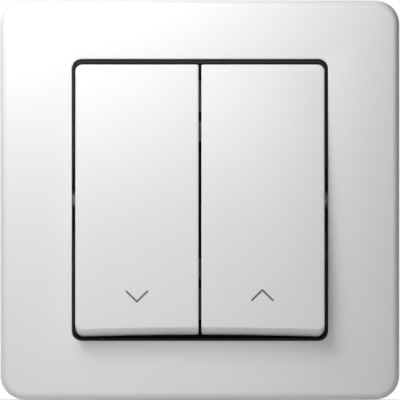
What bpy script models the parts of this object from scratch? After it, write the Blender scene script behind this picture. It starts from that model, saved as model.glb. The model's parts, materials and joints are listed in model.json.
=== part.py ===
"""Roller shutter switch: a two-rocker flush switch with cover frame, bezel, steel plate and mechanism.

Metres, +Z up. The wall plane is y = 0, the front looks along -Y, and the origin is the middle of the
wall plane. Rockers stand in their off position: foot proud, head in. Both turn about one level axis.
Heights run outwards from the contacts: chamber, terminals, base, bezel ledge, opening. Widths follow
from the width of a rocker. The cover frame follows from the pitch of the box screws.
"""
import math

import bmesh
import bpy
from mathutils import Matrix, Vector

# Clearances
SEAT_GAP = 0.0003
RUNNING_GAP = 0.00022
LIP_GAP = 0.00012
HEAD_GAP = 0.00075
FOOT_GAP = 0.000343
PIN_GAP = 0.0002
SCREW_GAP = 0.0003
TAB_GAP = 0.0004
SNAP_IN = 0.0001
FACE_STEP = 0.0001
OVERCUT = 0.001

# Cover frame
FRAME_CLEARANCE = 0.003
FRAME_CORNER = 0.0048
FRAME_EDGE = 0.0015
FRAME_WALL = 0.002
OPENING_CORNER = 0.002
OPENING_EDGE = 0.0004
COLLAR_WALL = 0.0013
COLLAR_DEPTH = 0.0043
FRAME_RIB = 0.0012
FRAME_RIB_DEPTH = 0.0035
FRAME_RIB_PLACE = 0.017
SNAP_PLACE = 0.012
SNAP_WIDTH = 0.005
SNAP_BEAD = 0.0005
SNAP_BACK = 0.0013

# Bezel in the opening
LIP_RECESS = 0.0004
LIP_WALL = 0.00036
LIP_TOP = 0.00073
LIP_EDGE = 0.00012
RING_WALL = 0.0016
RING_FLOOR = 0.0016
RING_RELIEF = 0.0003
LEDGE_REACH = 0.0043
SIDE_LEDGE = 0.0026
RING_FOOT = 0.0014
NOTCH_HEIGHT = 0.013
PIN_BRIDGE = 0.0017
EAR_SPACE = 0.0021
HOOK_GAP = 0.0023
HOOK_PLACE = 0.008
HOOK_WIDTH = 0.004
HOOK_WALL = 0.0012
HOOK_NOSE = 0.0008
HOOK_REACH = 0.0012

# Rockers
PIVOT_RISE = 0.0009
ROCKER_TILT = math.radians(3.5)
ROCKER_WIDTH = 0.025015
ROCKER_SPLIT = 0.00057
ROCKER_FACE = 0.008
ROCKER_RIM = 0.0024
ROCKER_SOLE = 0.003
ROCKER_EDGE = 0.00035
ROCKER_WALL = 0.0015
ROCKER_TOP_CORNER = 0.0016
ROCKER_FOOT_CORNER = 0.0012
ROCKER_SOLE_CORNER = 0.0019
CORNER_MARGIN = 0.00005
FOOT_BOW_RADIUS = 0.664
PIN_RADIUS = 0.0018
PIN_LENGTH = 0.0013
ROCKER_RIB = 0.001
ROCKER_RIB_DEPTH = 0.0012
ROCKER_RIB_PITCH = 0.007
CLIP_WALL = 0.0012
CLIP_WIDTH = 0.008
CLIP_NOSE = 0.0006
CLIP_NOSE_DEPTH = 0.0007

# Levers, springs and plungers
CHEEK_SPACE = 0.0032
LEVER_HEIGHT = 0.016
LEVER_PLATE = 0.0018
LEVER_REAR = 0.0012
LEVER_PAD_PLACE = 0.0053
HUB_RADIUS = 0.0018
STUD_RADIUS = 0.0011
STUD_LENGTH = 0.0015
TUBE_RADIUS = 0.0029
TUBE_BORE = 0.0019
BORE_START = 0.002
SPRING_LENGTH = 0.0059
SPRING_WIRE = 0.0004
SPRING_TURNS = 5
PLUNGER_REACH = 0.0035

# Steel plate
PLATE_THICKNESS = 0.001
PLATE_CORNER = 0.005
PLATE_MARGIN = 0.0036
BOX_SCREW_PITCH = 0.060
BOX_SLOT_WIDTH = 0.0038
BOX_SLOT_LENGTH = 0.009

# Mechanism cover
FLANGE_MARGIN = 0.0006
FLANGE_HEAD = 0.004
FLANGE_THICKNESS = 0.0013
FLANGE_CHAMFER = 0.003
SPIGOT_DEPTH = 0.003
CHEEK_WALL = 0.0015
CHEEK_HEIGHT = 0.006
CHEEK_RISE = 0.0027
WINDOW_SPACE = 0.0026

# Mechanism base
BASE_DEPTH = 0.0205
BASE_CHAMFER = 0.007
BASE_WALL = 0.0012
BASE_FLOOR = 0.0032
DIVIDER = 0.0016
RECESS_DEPTH = 0.0016
RECESS_RIB = 0.0012
RECESS_MARGIN = 0.0012
RECESS_COLUMNS = 4
RECESS_ROWS = 2

# Contacts and straps
CONTACT_THICKNESS = 0.0006
CONTACT_WIDTH = 0.004
CONTACT_HEIGHT = 0.0152
CONTACT_RATIO = -16 / 7
BUTTON_MARGIN = 0.0014
BUTTON_RADIUS = 0.0012
BUTTON_DEPTH = 0.0008
TAB_SPAN = 0.008
TAB_HEIGHT = 0.001
STRAP_THICKNESS = 0.0008
PAD_MARGIN = 0.0008
FEED_GAP = 0.0008
FEED_WIDTH = 0.0015
LANE_GAP = 0.001
LANE_WIDTH = 0.0016
EAR_WALL = 0.0008
EAR_HEIGHT = 0.0036
TONGUE_WIDTH = 0.0036

# Terminals
CLAMP_OFFSET = 0.0024
CLAMP_WIDTH = 0.0064
CLAMP_HEIGHT = 0.006
CLAMP_DEPTH = 0.0051
CLAMP_WINDOW = 0.0044
CLAMP_FLOOR = 0.0008
CLAMP_ROOF = 0.0016
CLAMP_SCREW_RADIUS = 0.0012
CLAMP_SCREW_HEAD = 0.0019
CLAMP_SCREW_LENGTH = 0.0032
CLAMP_SCREW_HEAD_LENGTH = 0.0014
POCKET_GAP = 0.0004
POCKET_SPACE = 0.0013
POCKET_WALL = 0.0015
POCKET_CORNER_WALL = 0.0014
WIRE_HOLE = 0.0014
WIRE_FUNNEL = 0.0006

# Cover screws
COVER_SCREW_MARGIN = 0.0032
COVER_SCREW_RADIUS = 0.0011
COVER_SCREW_HEAD = 0.0021
COVER_SCREW_HEAD_DEPTH = 0.0012
COVER_SCREW_LENGTH = 0.0105
SLOT_WIDTH = 0.0006
SLOT_DEPTH = 0.0005

# Fineness of round forms
FRAME_STEPS = 12
FRAME_EDGE_STEPS = 6
OPENING_EDGE_STEPS = 3
ROCKER_EDGE_STEPS = 3
CORNER_STEPS = 6
ROUND_STEPS = 20
FOOT_STEPS = 8
CHIN_STEPS = 3
SPRING_STEPS = 12
WIRE_STEPS = 2
SMOOTH_ANGLE = math.radians(32)
MERGE_DISTANCE = 0.0000001
PIVOT_MARK = 0.01

# Heights that follow, from the contacts outwards
CONTACT_PLACE = CONTACT_HEIGHT / 2 - BUTTON_MARGIN
PAD = BUTTON_RADIUS + PAD_MARGIN
CHAMBER_Z = CONTACT_PLACE + PAD + FEED_GAP + FEED_WIDTH + SEAT_GAP
SPIGOT_Z = CHAMBER_Z - SEAT_GAP
CLAMP_START = CHAMBER_Z + CLAMP_OFFSET
CLAMP_END = CLAMP_START + CLAMP_HEIGHT
TONGUE_PLACE = CLAMP_START + CLAMP_FLOOR + SEAT_GAP + STRAP_THICKNESS
WIRE_PLACE = TONGUE_PLACE + WIRE_HOLE
POCKET_END = CLAMP_END + POCKET_SPACE
BASE_Z = POCKET_END + POCKET_WALL
LEDGE_INNER_Z = BASE_Z + HOOK_GAP
HOOK_NEAR = LEDGE_INNER_Z + FACE_STEP
HOOK_FAR = HOOK_NEAR + HOOK_WALL
OPENING_Z = LEDGE_INNER_Z + LEDGE_REACH
LIP_OUTER_Z = OPENING_Z - LIP_GAP
RING_INNER_TOP = LIP_OUTER_Z - LIP_TOP
RING_INNER_FOOT = LIP_OUTER_Z - LIP_WALL
RING_OUTER_Z = OPENING_Z + RING_WALL
COLLAR_INNER_Z = RING_OUTER_Z + SEAT_GAP
COLLAR_OUTER_Z = COLLAR_INNER_Z + COLLAR_WALL
COVER_SCREW_PLACE = CHAMBER_Z + COVER_SCREW_MARGIN
FLANGE_Z = COVER_SCREW_PLACE + FLANGE_HEAD
ROCKER_TOP = RING_INNER_TOP - HEAD_GAP
CHIN_RADIUS = RING_INNER_FOOT - FOOT_GAP
ROCKER_FOOT = math.sqrt(CHIN_RADIUS ** 2 - ROCKER_FACE ** 2)
SOLE_Z = math.sqrt(CHIN_RADIUS ** 2 - ROCKER_SOLE ** 2)

# Widths that follow, from a rocker outwards and inwards
ROCKER_INNER = ROCKER_SPLIT / 2
ROCKER_OUTER = ROCKER_INNER + ROCKER_WIDTH
ROCKER_MIDDLE = (ROCKER_OUTER + ROCKER_INNER) / 2
ROCKER_INNER_CORNER = ROCKER_EDGE + CORNER_MARGIN
RING_INNER_X = ROCKER_OUTER + RUNNING_GAP
LIP_OUTER_X = RING_INNER_X + LIP_WALL
OPENING_X = LIP_OUTER_X + LIP_GAP
LEDGE_INNER_X = OPENING_X - SIDE_LEDGE
RING_OUTER_X = OPENING_X + RING_WALL
COLLAR_INNER_X = RING_OUTER_X + SEAT_GAP
COLLAR_OUTER_X = COLLAR_INNER_X + COLLAR_WALL
LEVER_HALF = ROCKER_WIDTH / 2 - ROCKER_WALL - CHEEK_SPACE - CHEEK_WALL - SEAT_GAP
CHEEK_INNER = LEVER_HALF + SEAT_GAP
FLANGE_X = ROCKER_MIDDLE + CHEEK_INNER + CHEEK_WALL + FLANGE_MARGIN
CRADLE = CONTACT_WIDTH / 2 + SEAT_GAP + EAR_WALL
LANE_INNER = ROCKER_MIDDLE + CRADLE + LANE_GAP
LANE_OUTER = LANE_INNER + LANE_WIDTH
CHAMBER_X = LANE_OUTER + SEAT_GAP
SPIGOT_X = CHAMBER_X - SEAT_GAP
BASE_X = CHAMBER_X + BASE_WALL
POCKET_X = CLAMP_WIDTH / 2 + POCKET_GAP
TERMINAL_PLACE = BASE_X + BASE_Z - BASE_CHAMFER - POCKET_END - POCKET_X - POCKET_CORNER_WALL

# Plate and frame, from the pitch of the box screws
PLATE_HALF = (BOX_SCREW_PITCH + BOX_SLOT_WIDTH) / 2 + PLATE_MARGIN
HOLLOW_HALF = PLATE_HALF + FRAME_CLEARANCE
FRAME_HALF = HOLLOW_HALF + FRAME_WALL

# Depths that follow, from the plate forwards and rearwards
PLATE_FRONT = -PLATE_THICKNESS
FLANGE_REAR = PLATE_FRONT - SEAT_GAP
FLANGE_FRONT = FLANGE_REAR - FLANGE_THICKNESS
PIVOT_DEPTH = PIVOT_RISE - FLANGE_FRONT
NOTCH_REAR = -PIVOT_DEPTH - PIN_RADIUS - PIN_GAP - FACE_STEP
WEB_REAR = NOTCH_REAR + FACE_STEP - PIN_BRIDGE - SEAT_GAP
FRAME_DEPTH = FRAME_WALL - WEB_REAR
LIP_FRONT = -FRAME_DEPTH + LIP_RECESS
RING_REAR = PLATE_FRONT - SEAT_GAP
LEDGE_FRONT = (-PIVOT_DEPTH - ROCKER_RIM * math.cos(ROCKER_TILT)
               + SOLE_Z * math.sin(ROCKER_TILT) + SEAT_GAP)
LEDGE_REAR = LEDGE_FRONT + RING_FLOOR
EAR_RADIUS = PIVOT_DEPTH - PLATE_THICKNESS - SEAT_GAP
SPIGOT_REAR = FLANGE_REAR + SPIGOT_DEPTH
BASE_FRONT = SEAT_GAP
FLOOR_DEPTH = BASE_DEPTH - BASE_FLOOR
STRAP_DEPTH = FLOOR_DEPTH - SEAT_GAP - STRAP_THICKNESS
STRAP_REAR = STRAP_DEPTH + STRAP_THICKNESS
CONTACT_TILT = abs(CONTACT_RATIO) * ROCKER_TILT
CONTACT_REAR = STRAP_DEPTH - BUTTON_DEPTH * 2 - SEAT_GAP - CONTACT_PLACE * math.sin(CONTACT_TILT)
CONTACT_FRONT = CONTACT_REAR - CONTACT_THICKNESS
CLAMP_REAR = STRAP_DEPTH - SEAT_GAP
CLAMP_FRONT = CLAMP_REAR - CLAMP_DEPTH
CLAMP_MIDDLE = (CLAMP_FRONT + CLAMP_REAR) / 2

# Along the lever's tube, from the pivot
PLUNGER_TIP = CONTACT_FRONT - SEAT_GAP + PIVOT_DEPTH
PLUNGER_RADIUS = TUBE_BORE - SEAT_GAP
TUBE_LENGTH = PLUNGER_TIP - PLUNGER_REACH
SPRING_START = BORE_START + SEAT_GAP
PLUNGER_START = SPRING_START + SPRING_LENGTH + SEAT_GAP

SIDES = {"down": -1, "up": 1}
TERMINALS = {"down": (-TERMINAL_PLACE, 1), "up": (TERMINAL_PLACE, 1), "feed": (TERMINAL_PLACE, -1)}

FINISHES = {
    "white_plastic": ((0.80, 0.80, 0.80), 0.22, 0.0),
    "dark_plastic": ((0.030, 0.031, 0.033), 0.45, 0.0),
    "grey_plastic": ((0.35, 0.36, 0.37), 0.5, 0.0),
    "black_plastic": ((0.02, 0.02, 0.02), 0.5, 0.0),
    "zinc_steel": ((0.60, 0.61, 0.62), 0.35, 1.0),
    "brass": ((0.72, 0.52, 0.22), 0.3, 1.0),
    "spring_steel": ((0.55, 0.55, 0.56), 0.25, 1.0),
}


def clear_scene():
    """Remove every object, so that the model starts from an empty scene."""
    for thing in list(bpy.data.objects):
        bpy.data.objects.remove(thing, do_unlink=True)


def collection(name):
    """New collection linked to the scene."""
    group = bpy.data.collections.new(name)
    bpy.context.scene.collection.children.link(group)
    return group


def finish_material(name):
    """Principled material of one of the listed finishes."""
    if name in bpy.data.materials:
        return bpy.data.materials[name]
    colour, roughness, metallic = FINISHES[name]
    material = bpy.data.materials.new(name)
    material.use_nodes = True
    shader = material.node_tree.nodes["Principled BSDF"]
    shader.inputs["Base Color"].default_value = (*colour, 1.0)
    shader.inputs["Roughness"].default_value = roughness
    shader.inputs["Metallic"].default_value = metallic
    return material


def outline(x0, x1, z0, z1, radii, steps=CORNER_STEPS):
    """Rounded rectangle, anticlockwise from its lower right corner, one radius for each corner."""
    if not isinstance(radii, tuple):
        radii = (radii,) * 4
    corners = ((x1, z0, -1, 1), (x1, z1, -1, -1), (x0, z1, 1, -1), (x0, z0, 1, 1))
    points = []
    for turn, ((x, z, sign_x, sign_z), radius) in enumerate(zip(corners, radii)):
        if radius == 0:
            points.append((x, z))
            continue
        for step in range(steps + 1):
            angle = math.radians(90) * (turn - 1 + step / steps)
            points.append((x + sign_x * radius + radius * math.cos(angle),
                           z + sign_z * radius + radius * math.sin(angle)))
    return points


def centred(half_x, half_z, radius, steps=CORNER_STEPS):
    """Rounded rectangle about the middle of the switch."""
    return outline(-half_x, half_x, -half_z, half_z, radius, steps)


def chamfered(half_x, half_z, chamfer):
    """Rectangle about the middle of the switch with its corners cut off."""
    return centred(half_x, half_z, chamfer, steps=1)


def window(x0, x1, z0, z1):
    """Rectangle with sharp corners, its limits in any order."""
    x0, x1 = sorted((x0, x1))
    z0, z1 = sorted((z0, z1))
    return outline(x0, x1, z0, z1, 0)


def circle(x, z, radius):
    """Round outline about a point of the front view."""
    angles = [math.tau * step / ROUND_STEPS for step in range(ROUND_STEPS)]
    return [(x + radius * math.cos(angle), z + radius * math.sin(angle)) for angle in angles]


def mirrored(points, side):
    """Outline carried over to the left side where side is -1."""
    if side > 0:
        return points
    return [(-x, z) for x, z in reversed(points)]


def new_object(name, mesh, group, finish=None):
    """Object of a mesh in a collection, with its finish."""
    thing = bpy.data.objects.new(name, mesh)
    group.objects.link(thing)
    if finish:
        mesh.materials.append(finish_material(finish))
    return thing


def mesh_from_curve(guide):
    """Mesh of an evaluated curve, its caps welded, in place of the curve."""
    bpy.context.view_layer.update()
    depsgraph = bpy.context.evaluated_depsgraph_get()
    mesh = bpy.data.meshes.new_from_object(guide.evaluated_get(depsgraph))
    mesh.transform(guide.matrix_world)
    mesh.materials.clear()
    shape = bmesh.new()
    shape.from_mesh(mesh)
    bmesh.ops.remove_doubles(shape, verts=shape.verts, dist=MERGE_DISTANCE)
    bmesh.ops.recalc_face_normals(shape, faces=shape.faces)
    shape.to_mesh(mesh)
    shape.free()
    curve = guide.data
    bpy.data.objects.remove(guide, do_unlink=True)
    bpy.data.curves.remove(curve)
    return mesh


def plate(name, group, outlines, front, back, finish=None):
    """Flat piece between two depths: an outer outline and any holes, as a filled 2D curve."""
    curve = bpy.data.curves.new(name, "CURVE")
    curve.dimensions = "2D"
    curve.fill_mode = "BOTH"
    curve.extrude = (back - front) / 2
    for points in outlines:
        spline = curve.splines.new("POLY")
        spline.points.add(len(points) - 1)
        for point, (x, z) in zip(spline.points, points):
            point.co = (x, z, 0, 1)
        spline.use_cyclic_u = True
    guide = bpy.data.objects.new(name, curve)
    upright = Matrix.Rotation(math.radians(90), 4, "X")
    guide.matrix_world = Matrix.Translation((0, (front + back) / 2, 0)) @ upright
    group.objects.link(guide)
    return new_object(name, mesh_from_curve(guide), group, finish)


def loft(name, group, sections, finish=None):
    """Closed solid through like outlines, given as (y, points) from front to rear."""
    shape = bmesh.new()
    rings = [[shape.verts.new((x, y, z)) for x, z in points] for y, points in sections]
    shape.faces.new(rings[0])
    shape.faces.new(rings[-1])
    for ring, following in zip(rings, rings[1:]):
        for index in range(len(ring)):
            after = (index + 1) % len(ring)
            shape.faces.new((ring[index], ring[after], following[after], following[index]))
    bmesh.ops.recalc_face_normals(shape, faces=shape.faces)
    mesh = bpy.data.meshes.new(name)
    shape.to_mesh(mesh)
    shape.free()
    return new_object(name, mesh, group, finish)


def boxes(name, group, limits, finish=None):
    """One or more separate boxes in one mesh, each given as (x0, x1, y0, y1, z0, z1)."""
    shape = bmesh.new()
    for x0, x1, y0, y1, z0, z1 in limits:
        middle = Vector((x0 + x1, y0 + y1, z0 + z1)) / 2
        size = Matrix.Diagonal((abs(x1 - x0), abs(y1 - y0), abs(z1 - z0), 1))
        bmesh.ops.create_cube(shape, size=1.0, matrix=Matrix.Translation(middle) @ size)
    mesh = bpy.data.meshes.new(name)
    shape.to_mesh(mesh)
    shape.free()
    return new_object(name, mesh, group, finish)


def rods(name, group, runs, finish=None):
    """One or more round rods or cones in one mesh, each given as (start, end, radius, end radius)."""
    shape = bmesh.new()
    for start, end, radius, end_radius in runs:
        start, end = Vector(start), Vector(end)
        turn = Vector((0, 0, 1)).rotation_difference(end - start).to_matrix().to_4x4()
        place = Matrix.Translation((start + end) / 2) @ turn
        bmesh.ops.create_cone(shape, cap_ends=True, segments=ROUND_STEPS, radius1=radius,
                              radius2=end_radius, depth=(end - start).length, matrix=place)
    mesh = bpy.data.meshes.new(name)
    shape.to_mesh(mesh)
    shape.free()
    return new_object(name, mesh, group, finish)


def level_rod(name, group, x0, x1, radius, finish=None, depth=0.0):
    """Round rod along X at a depth, in the middle height."""
    return rods(name, group, [((x0, depth, 0), (x1, depth, 0), radius, radius)], finish)


def depth_rod(name, group, x, z, y0, y1, radius, finish=None):
    """Round rod along Y."""
    return rods(name, group, [((x, y0, z), (x, y1, z), radius, radius)], finish)


def upright_rod(name, group, x, y, z0, z1, radius, finish=None):
    """Round rod along Z."""
    return rods(name, group, [((x, y, z0), (x, y, z1), radius, radius)], finish)


def combine(target, tools, operation):
    """Cut tools from a piece or join them to it, and hide the tools."""
    for tool in tools:
        modifier = target.modifiers.new(tool.name, "BOOLEAN")
        modifier.operation = operation
        modifier.solver = "EXACT"
        modifier.object = tool
        tool.hide_render = True
        tool.display_type = "WIRE"


def cut(target, *tools):
    """Cut tools from a piece."""
    combine(target, tools, "DIFFERENCE")


def join(target, *tools):
    """Join tools to a piece."""
    combine(target, tools, "UNION")


def round_edges(piece, width, segments, chosen):
    """Bevel on the edges whose two ends pass a test."""
    mesh = piece.data
    weights = mesh.attributes.new("bevel_weight_edge", "FLOAT", "EDGE")
    for edge in mesh.edges:
        first, second = (mesh.vertices[index].co for index in edge.vertices)
        weights.data[edge.index].value = 1.0 if chosen(first) and chosen(second) else 0.0
    bevel = piece.modifiers.new("rounded_edges", "BEVEL")
    bevel.limit_method = "WEIGHT"
    bevel.width = width
    bevel.segments = segments


def smooth(piece):
    """Smooth shading with sharp edges kept."""
    piece.data.shade_smooth()
    piece.data.set_sharp_from_angle(angle=SMOOTH_ANGLE)


def hang(piece, empty):
    """Parent a piece and its tools to an empty, keeping their own coordinates."""
    piece.parent = empty
    for modifier in piece.modifiers:
        if modifier.type == "BOOLEAN":
            modifier.object.parent = empty


def pivot(name, group, depth, angle):
    """Empty on a level joint axis, turned to the rest angle."""
    empty = bpy.data.objects.new(name, None)
    empty.location = (0, depth, 0)
    empty.rotation_euler = (angle, 0, 0)
    empty.empty_display_size = PIVOT_MARK
    group.objects.link(empty)
    return empty


def frame_mouth(tools):
    """Cutter of the frame's opening, flared by the rounding of its front edge."""
    flares = [(-FRAME_DEPTH - OVERCUT, OPENING_EDGE)]
    for step in range(OPENING_EDGE_STEPS + 1):
        angle = math.radians(90) * step / OPENING_EDGE_STEPS
        flares.append((-FRAME_DEPTH + OPENING_EDGE * (1 - math.cos(angle)),
                       OPENING_EDGE * (1 - math.sin(angle))))
    flares.append((OVERCUT, 0))
    return loft("frame_opening", tools, [
        (y, centred(OPENING_X + flare, OPENING_Z + flare, OPENING_CORNER + flare)) for y, flare in flares])


def frame_ribs():
    """Limits of the ribs that tie the collar to the outer walls."""
    front, rear = WEB_REAR - FRAME_WALL / 2, WEB_REAR + FRAME_RIB_DEPTH
    near_x, near_z = COLLAR_OUTER_X - COLLAR_WALL / 2, COLLAR_OUTER_Z - COLLAR_WALL / 2
    far = HOLLOW_HALF + FRAME_WALL / 2
    ribs = []
    for place in (-FRAME_RIB_PLACE, FRAME_RIB_PLACE):
        low, high = place - FRAME_RIB / 2, place + FRAME_RIB / 2
        for side in (-1, 1):
            ribs.append((side * near_x, side * far, front, rear, low, high))
            ribs.append((low, high, front, rear, side * near_z, side * far))
    return ribs


def snap_rods(name, radius, length, tools):
    """Four upright rods on the collar's inner face: the frame's snap beads, or the bezel's grooves."""
    depth = WEB_REAR + COLLAR_DEPTH - SNAP_BACK
    runs = []
    for place in (-SNAP_PLACE, SNAP_PLACE):
        low, high = place - length / 2, place + length / 2
        for x in (-COLLAR_INNER_X, COLLAR_INNER_X):
            runs.append(((x, depth, low), (x, depth, high), radius, radius))
    return rods(name, tools, runs)


def make_cover_frame(parts, tools):
    """Outer frame: rounded plate with a hollow back, ribs, and a collar that snaps on the bezel."""
    rim = centred(FRAME_HALF, FRAME_HALF, FRAME_CORNER, FRAME_STEPS)
    frame = loft("cover_frame", parts, [(-FRAME_DEPTH, rim), (0, rim)], "white_plastic")
    round_edges(frame, FRAME_EDGE, FRAME_EDGE_STEPS, lambda point: point.y < -FRAME_DEPTH / 2)
    inner_rim = centred(HOLLOW_HALF, HOLLOW_HALF, FRAME_CORNER - FRAME_WALL)
    collar = centred(COLLAR_OUTER_X, COLLAR_OUTER_Z, OPENING_CORNER + RING_WALL)
    seat = centred(COLLAR_INNER_X, COLLAR_INNER_Z, OPENING_CORNER)
    cut(frame, frame_mouth(tools),
        plate("frame_hollow", tools, [inner_rim, collar], WEB_REAR, OVERCUT),
        plate("frame_seat", tools, [seat], WEB_REAR, OVERCUT),
        plate("frame_collar_end", tools, [inner_rim], WEB_REAR + COLLAR_DEPTH, OVERCUT))
    join(frame,
         boxes("frame_ribs", tools, frame_ribs()),
         snap_rods("frame_snaps", SNAP_BEAD, SNAP_WIDTH, tools))
    smooth(frame)


def ring_openings():
    """Limits of the side cuts of the bezel: visible notches, ear pockets and pin slots."""
    notch, slot, ear = NOTCH_HEIGHT / 2, PIN_RADIUS + PIN_GAP, EAR_RADIUS + EAR_SPACE
    openings = []
    for side in (-1, 1):
        inside, outside = side * (LEDGE_INNER_X - OVERCUT), side * (RING_OUTER_X + OVERCUT)
        openings += [
            (inside, side * (RING_INNER_X + LIP_WALL * 2), LIP_FRONT - OVERCUT, NOTCH_REAR, -notch, notch),
            (inside, side * (RING_INNER_X + FACE_STEP), LEDGE_FRONT - OVERCUT, OVERCUT, -ear, ear),
            (side * (RING_INNER_X - OVERCUT), outside, NOTCH_REAR - SEAT_GAP, OVERCUT, -slot, slot)]
    return openings


def ring_hooks(tools):
    """Four hooks under the ledge: each passes the steel plate and hooks behind it."""
    hooks = []
    for x in (-HOOK_PLACE, HOOK_PLACE):
        low, high = x - HOOK_WIDTH / 2, x + HOOK_WIDTH / 2
        for sign in (-1, 1):
            near, far = sign * HOOK_NEAR, sign * HOOK_FAR
            number = len(hooks)
            hooks.append(boxes(f"ring_hook_{number}", tools, [
                (low, high, LEDGE_REAR - RING_FLOOR / 2, HOOK_REACH, near, far)]))
            hooks.append(boxes(f"ring_hook_nose_{number}", tools, [
                (low, high, SEAT_GAP, HOOK_REACH, near + sign * HOOK_WALL / 2, far + sign * HOOK_NOSE)]))
    return hooks


def make_trim_ring(parts, tools):
    """Dark bezel: thin lip in the frame's opening, thicker wall behind the frame, ledge, foot and hooks."""
    ring = plate("trim_ring", parts, [centred(RING_OUTER_X, RING_OUTER_Z, OPENING_CORNER)],
                 WEB_REAR + SEAT_GAP, RING_REAR, "dark_plastic")
    lip = centred(LIP_OUTER_X, LIP_OUTER_Z, OPENING_CORNER)
    lip_face = centred(LIP_OUTER_X - LIP_EDGE, LIP_OUTER_Z - LIP_EDGE, OPENING_CORNER - LIP_EDGE)
    join(ring, loft("ring_lip", tools, [(LIP_FRONT, lip_face), (LIP_FRONT + LIP_EDGE, lip),
                                        (WEB_REAR + RING_WALL, lip)]))
    well = outline(-RING_INNER_X, RING_INNER_X, -RING_INNER_FOOT, RING_INNER_TOP, OPENING_CORNER - LIP_WALL)
    relief = (-RING_INNER_X, RING_INNER_X, WEB_REAR + SEAT_GAP, LEDGE_FRONT,
              -RING_INNER_FOOT - RING_RELIEF, -RING_INNER_FOOT + RING_RELIEF)
    passage = centred(LEDGE_INNER_X, LEDGE_INNER_Z, OPENING_CORNER)
    under = centred(RING_OUTER_X - RING_FOOT, RING_OUTER_Z - RING_FOOT, OPENING_CORNER)
    cut(ring,
        plate("ring_well", tools, [well], LIP_FRONT - OVERCUT, LEDGE_FRONT),
        boxes("ring_relief", tools, [relief]),
        plate("ring_passage", tools, [passage], LEDGE_FRONT - OVERCUT, OVERCUT),
        plate("ring_underside", tools, [under], LEDGE_REAR, OVERCUT),
        snap_rods("ring_grooves", SNAP_BEAD + SEAT_GAP, SNAP_WIDTH + SEAT_GAP * 2, tools))
    for number, limits in enumerate(ring_openings()):
        cut(ring, boxes(f"ring_notch_{number}", tools, [limits]))
    join(ring, *ring_hooks(tools))
    smooth(ring)


def foot_bow(points, side):
    """Bow of the foot: it rises towards the middle of the switch, and fades out at the pivot."""
    bowed = []
    for x, z in points:
        share = max(0.0, -z / SOLE_Z)
        bowed.append((x, z - share * x * x / (2 * FOOT_BOW_RADIUS)))
    return mirrored(bowed, side)


def rocker_outline(foot, foot_corner, inset):
    """Front view of the right rocker, with points along its foot for the bow."""
    x0, x1 = ROCKER_INNER + inset, ROCKER_OUTER - inset
    radii = (foot_corner, ROCKER_TOP_CORNER, ROCKER_INNER_CORNER, ROCKER_INNER_CORNER)
    corners = outline(x0, x1, -foot + inset, ROCKER_TOP - inset, radii)
    start, end = x0 + ROCKER_INNER_CORNER, x1 - foot_corner
    along = [(start + (end - start) * step / FOOT_STEPS, -foot + inset) for step in range(1, FOOT_STEPS)]
    return corners + along


def rocker_sections(side, inset=0.0):
    """Sections of the rocker from face to sole, its chin turned about the pivot."""
    sections = []
    for step in range(CHIN_STEPS + 1):
        share = step / CHIN_STEPS
        depth = ROCKER_FACE - inset + (ROCKER_SOLE - ROCKER_FACE + inset) * share
        foot = math.sqrt(CHIN_RADIUS ** 2 - depth ** 2)
        corner = ROCKER_FOOT_CORNER + (ROCKER_SOLE_CORNER - ROCKER_FOOT_CORNER) * share
        sections.append((-depth, foot_bow(rocker_outline(foot, corner, inset), side)))
    return sections


def rocker_ribs(side):
    """Limits of the level ribs inside a rocker, beyond the clip legs."""
    ceiling = -ROCKER_FACE + ROCKER_WALL
    first = LEVER_HEIGHT / 2 + SEAT_GAP + CLIP_WALL + ROCKER_RIB
    last = ROCKER_FOOT - ROCKER_WALL - ROCKER_RIB
    count = int(last / ROCKER_RIB_PITCH)
    places = [step * ROCKER_RIB_PITCH for step in range(1, count + 1) if step * ROCKER_RIB_PITCH > first]
    near, far = ROCKER_INNER + ROCKER_WALL / 2, ROCKER_OUTER - ROCKER_WALL / 2
    return [(side * near, side * far, ceiling - ROCKER_WALL / 2, ceiling + ROCKER_RIB_DEPTH,
             z - ROCKER_RIB / 2, z + ROCKER_RIB / 2) for place in places for z in (-place, place)]


def rocker_clips(name, side, tools):
    """Two clip legs with noses under the lever's plate, and two pads in front of it."""
    low, high = side * ROCKER_MIDDLE - CLIP_WIDTH / 2, side * ROCKER_MIDDLE + CLIP_WIDTH / 2
    root = -ROCKER_FACE + ROCKER_WALL / 2
    nose_front = -LEVER_REAR + SEAT_GAP
    clip_end = nose_front + CLIP_NOSE_DEPTH
    pieces = []
    for sign in (-1, 1):
        near = sign * (LEVER_HEIGHT / 2 + SEAT_GAP)
        middle, far = near + sign * CLIP_WALL / 2, near + sign * CLIP_WALL
        pieces.append(boxes(f"{name}_clip_{sign}", tools, [(low, high, root, clip_end, near, far)]))
        pieces.append(boxes(f"{name}_clip_nose_{sign}", tools, [
            (low, high, nose_front, clip_end, near - sign * CLIP_NOSE, middle)]))
    seat = -LEVER_REAR - LEVER_PLATE - SEAT_GAP
    pieces.append(boxes(f"{name}_pads", tools, [
        (low, high, root, seat, z - ROCKER_RIB / 2, z + ROCKER_RIB / 2)
        for z in (-LEVER_PAD_PLACE, LEVER_PAD_PLACE)]))
    return pieces


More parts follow.
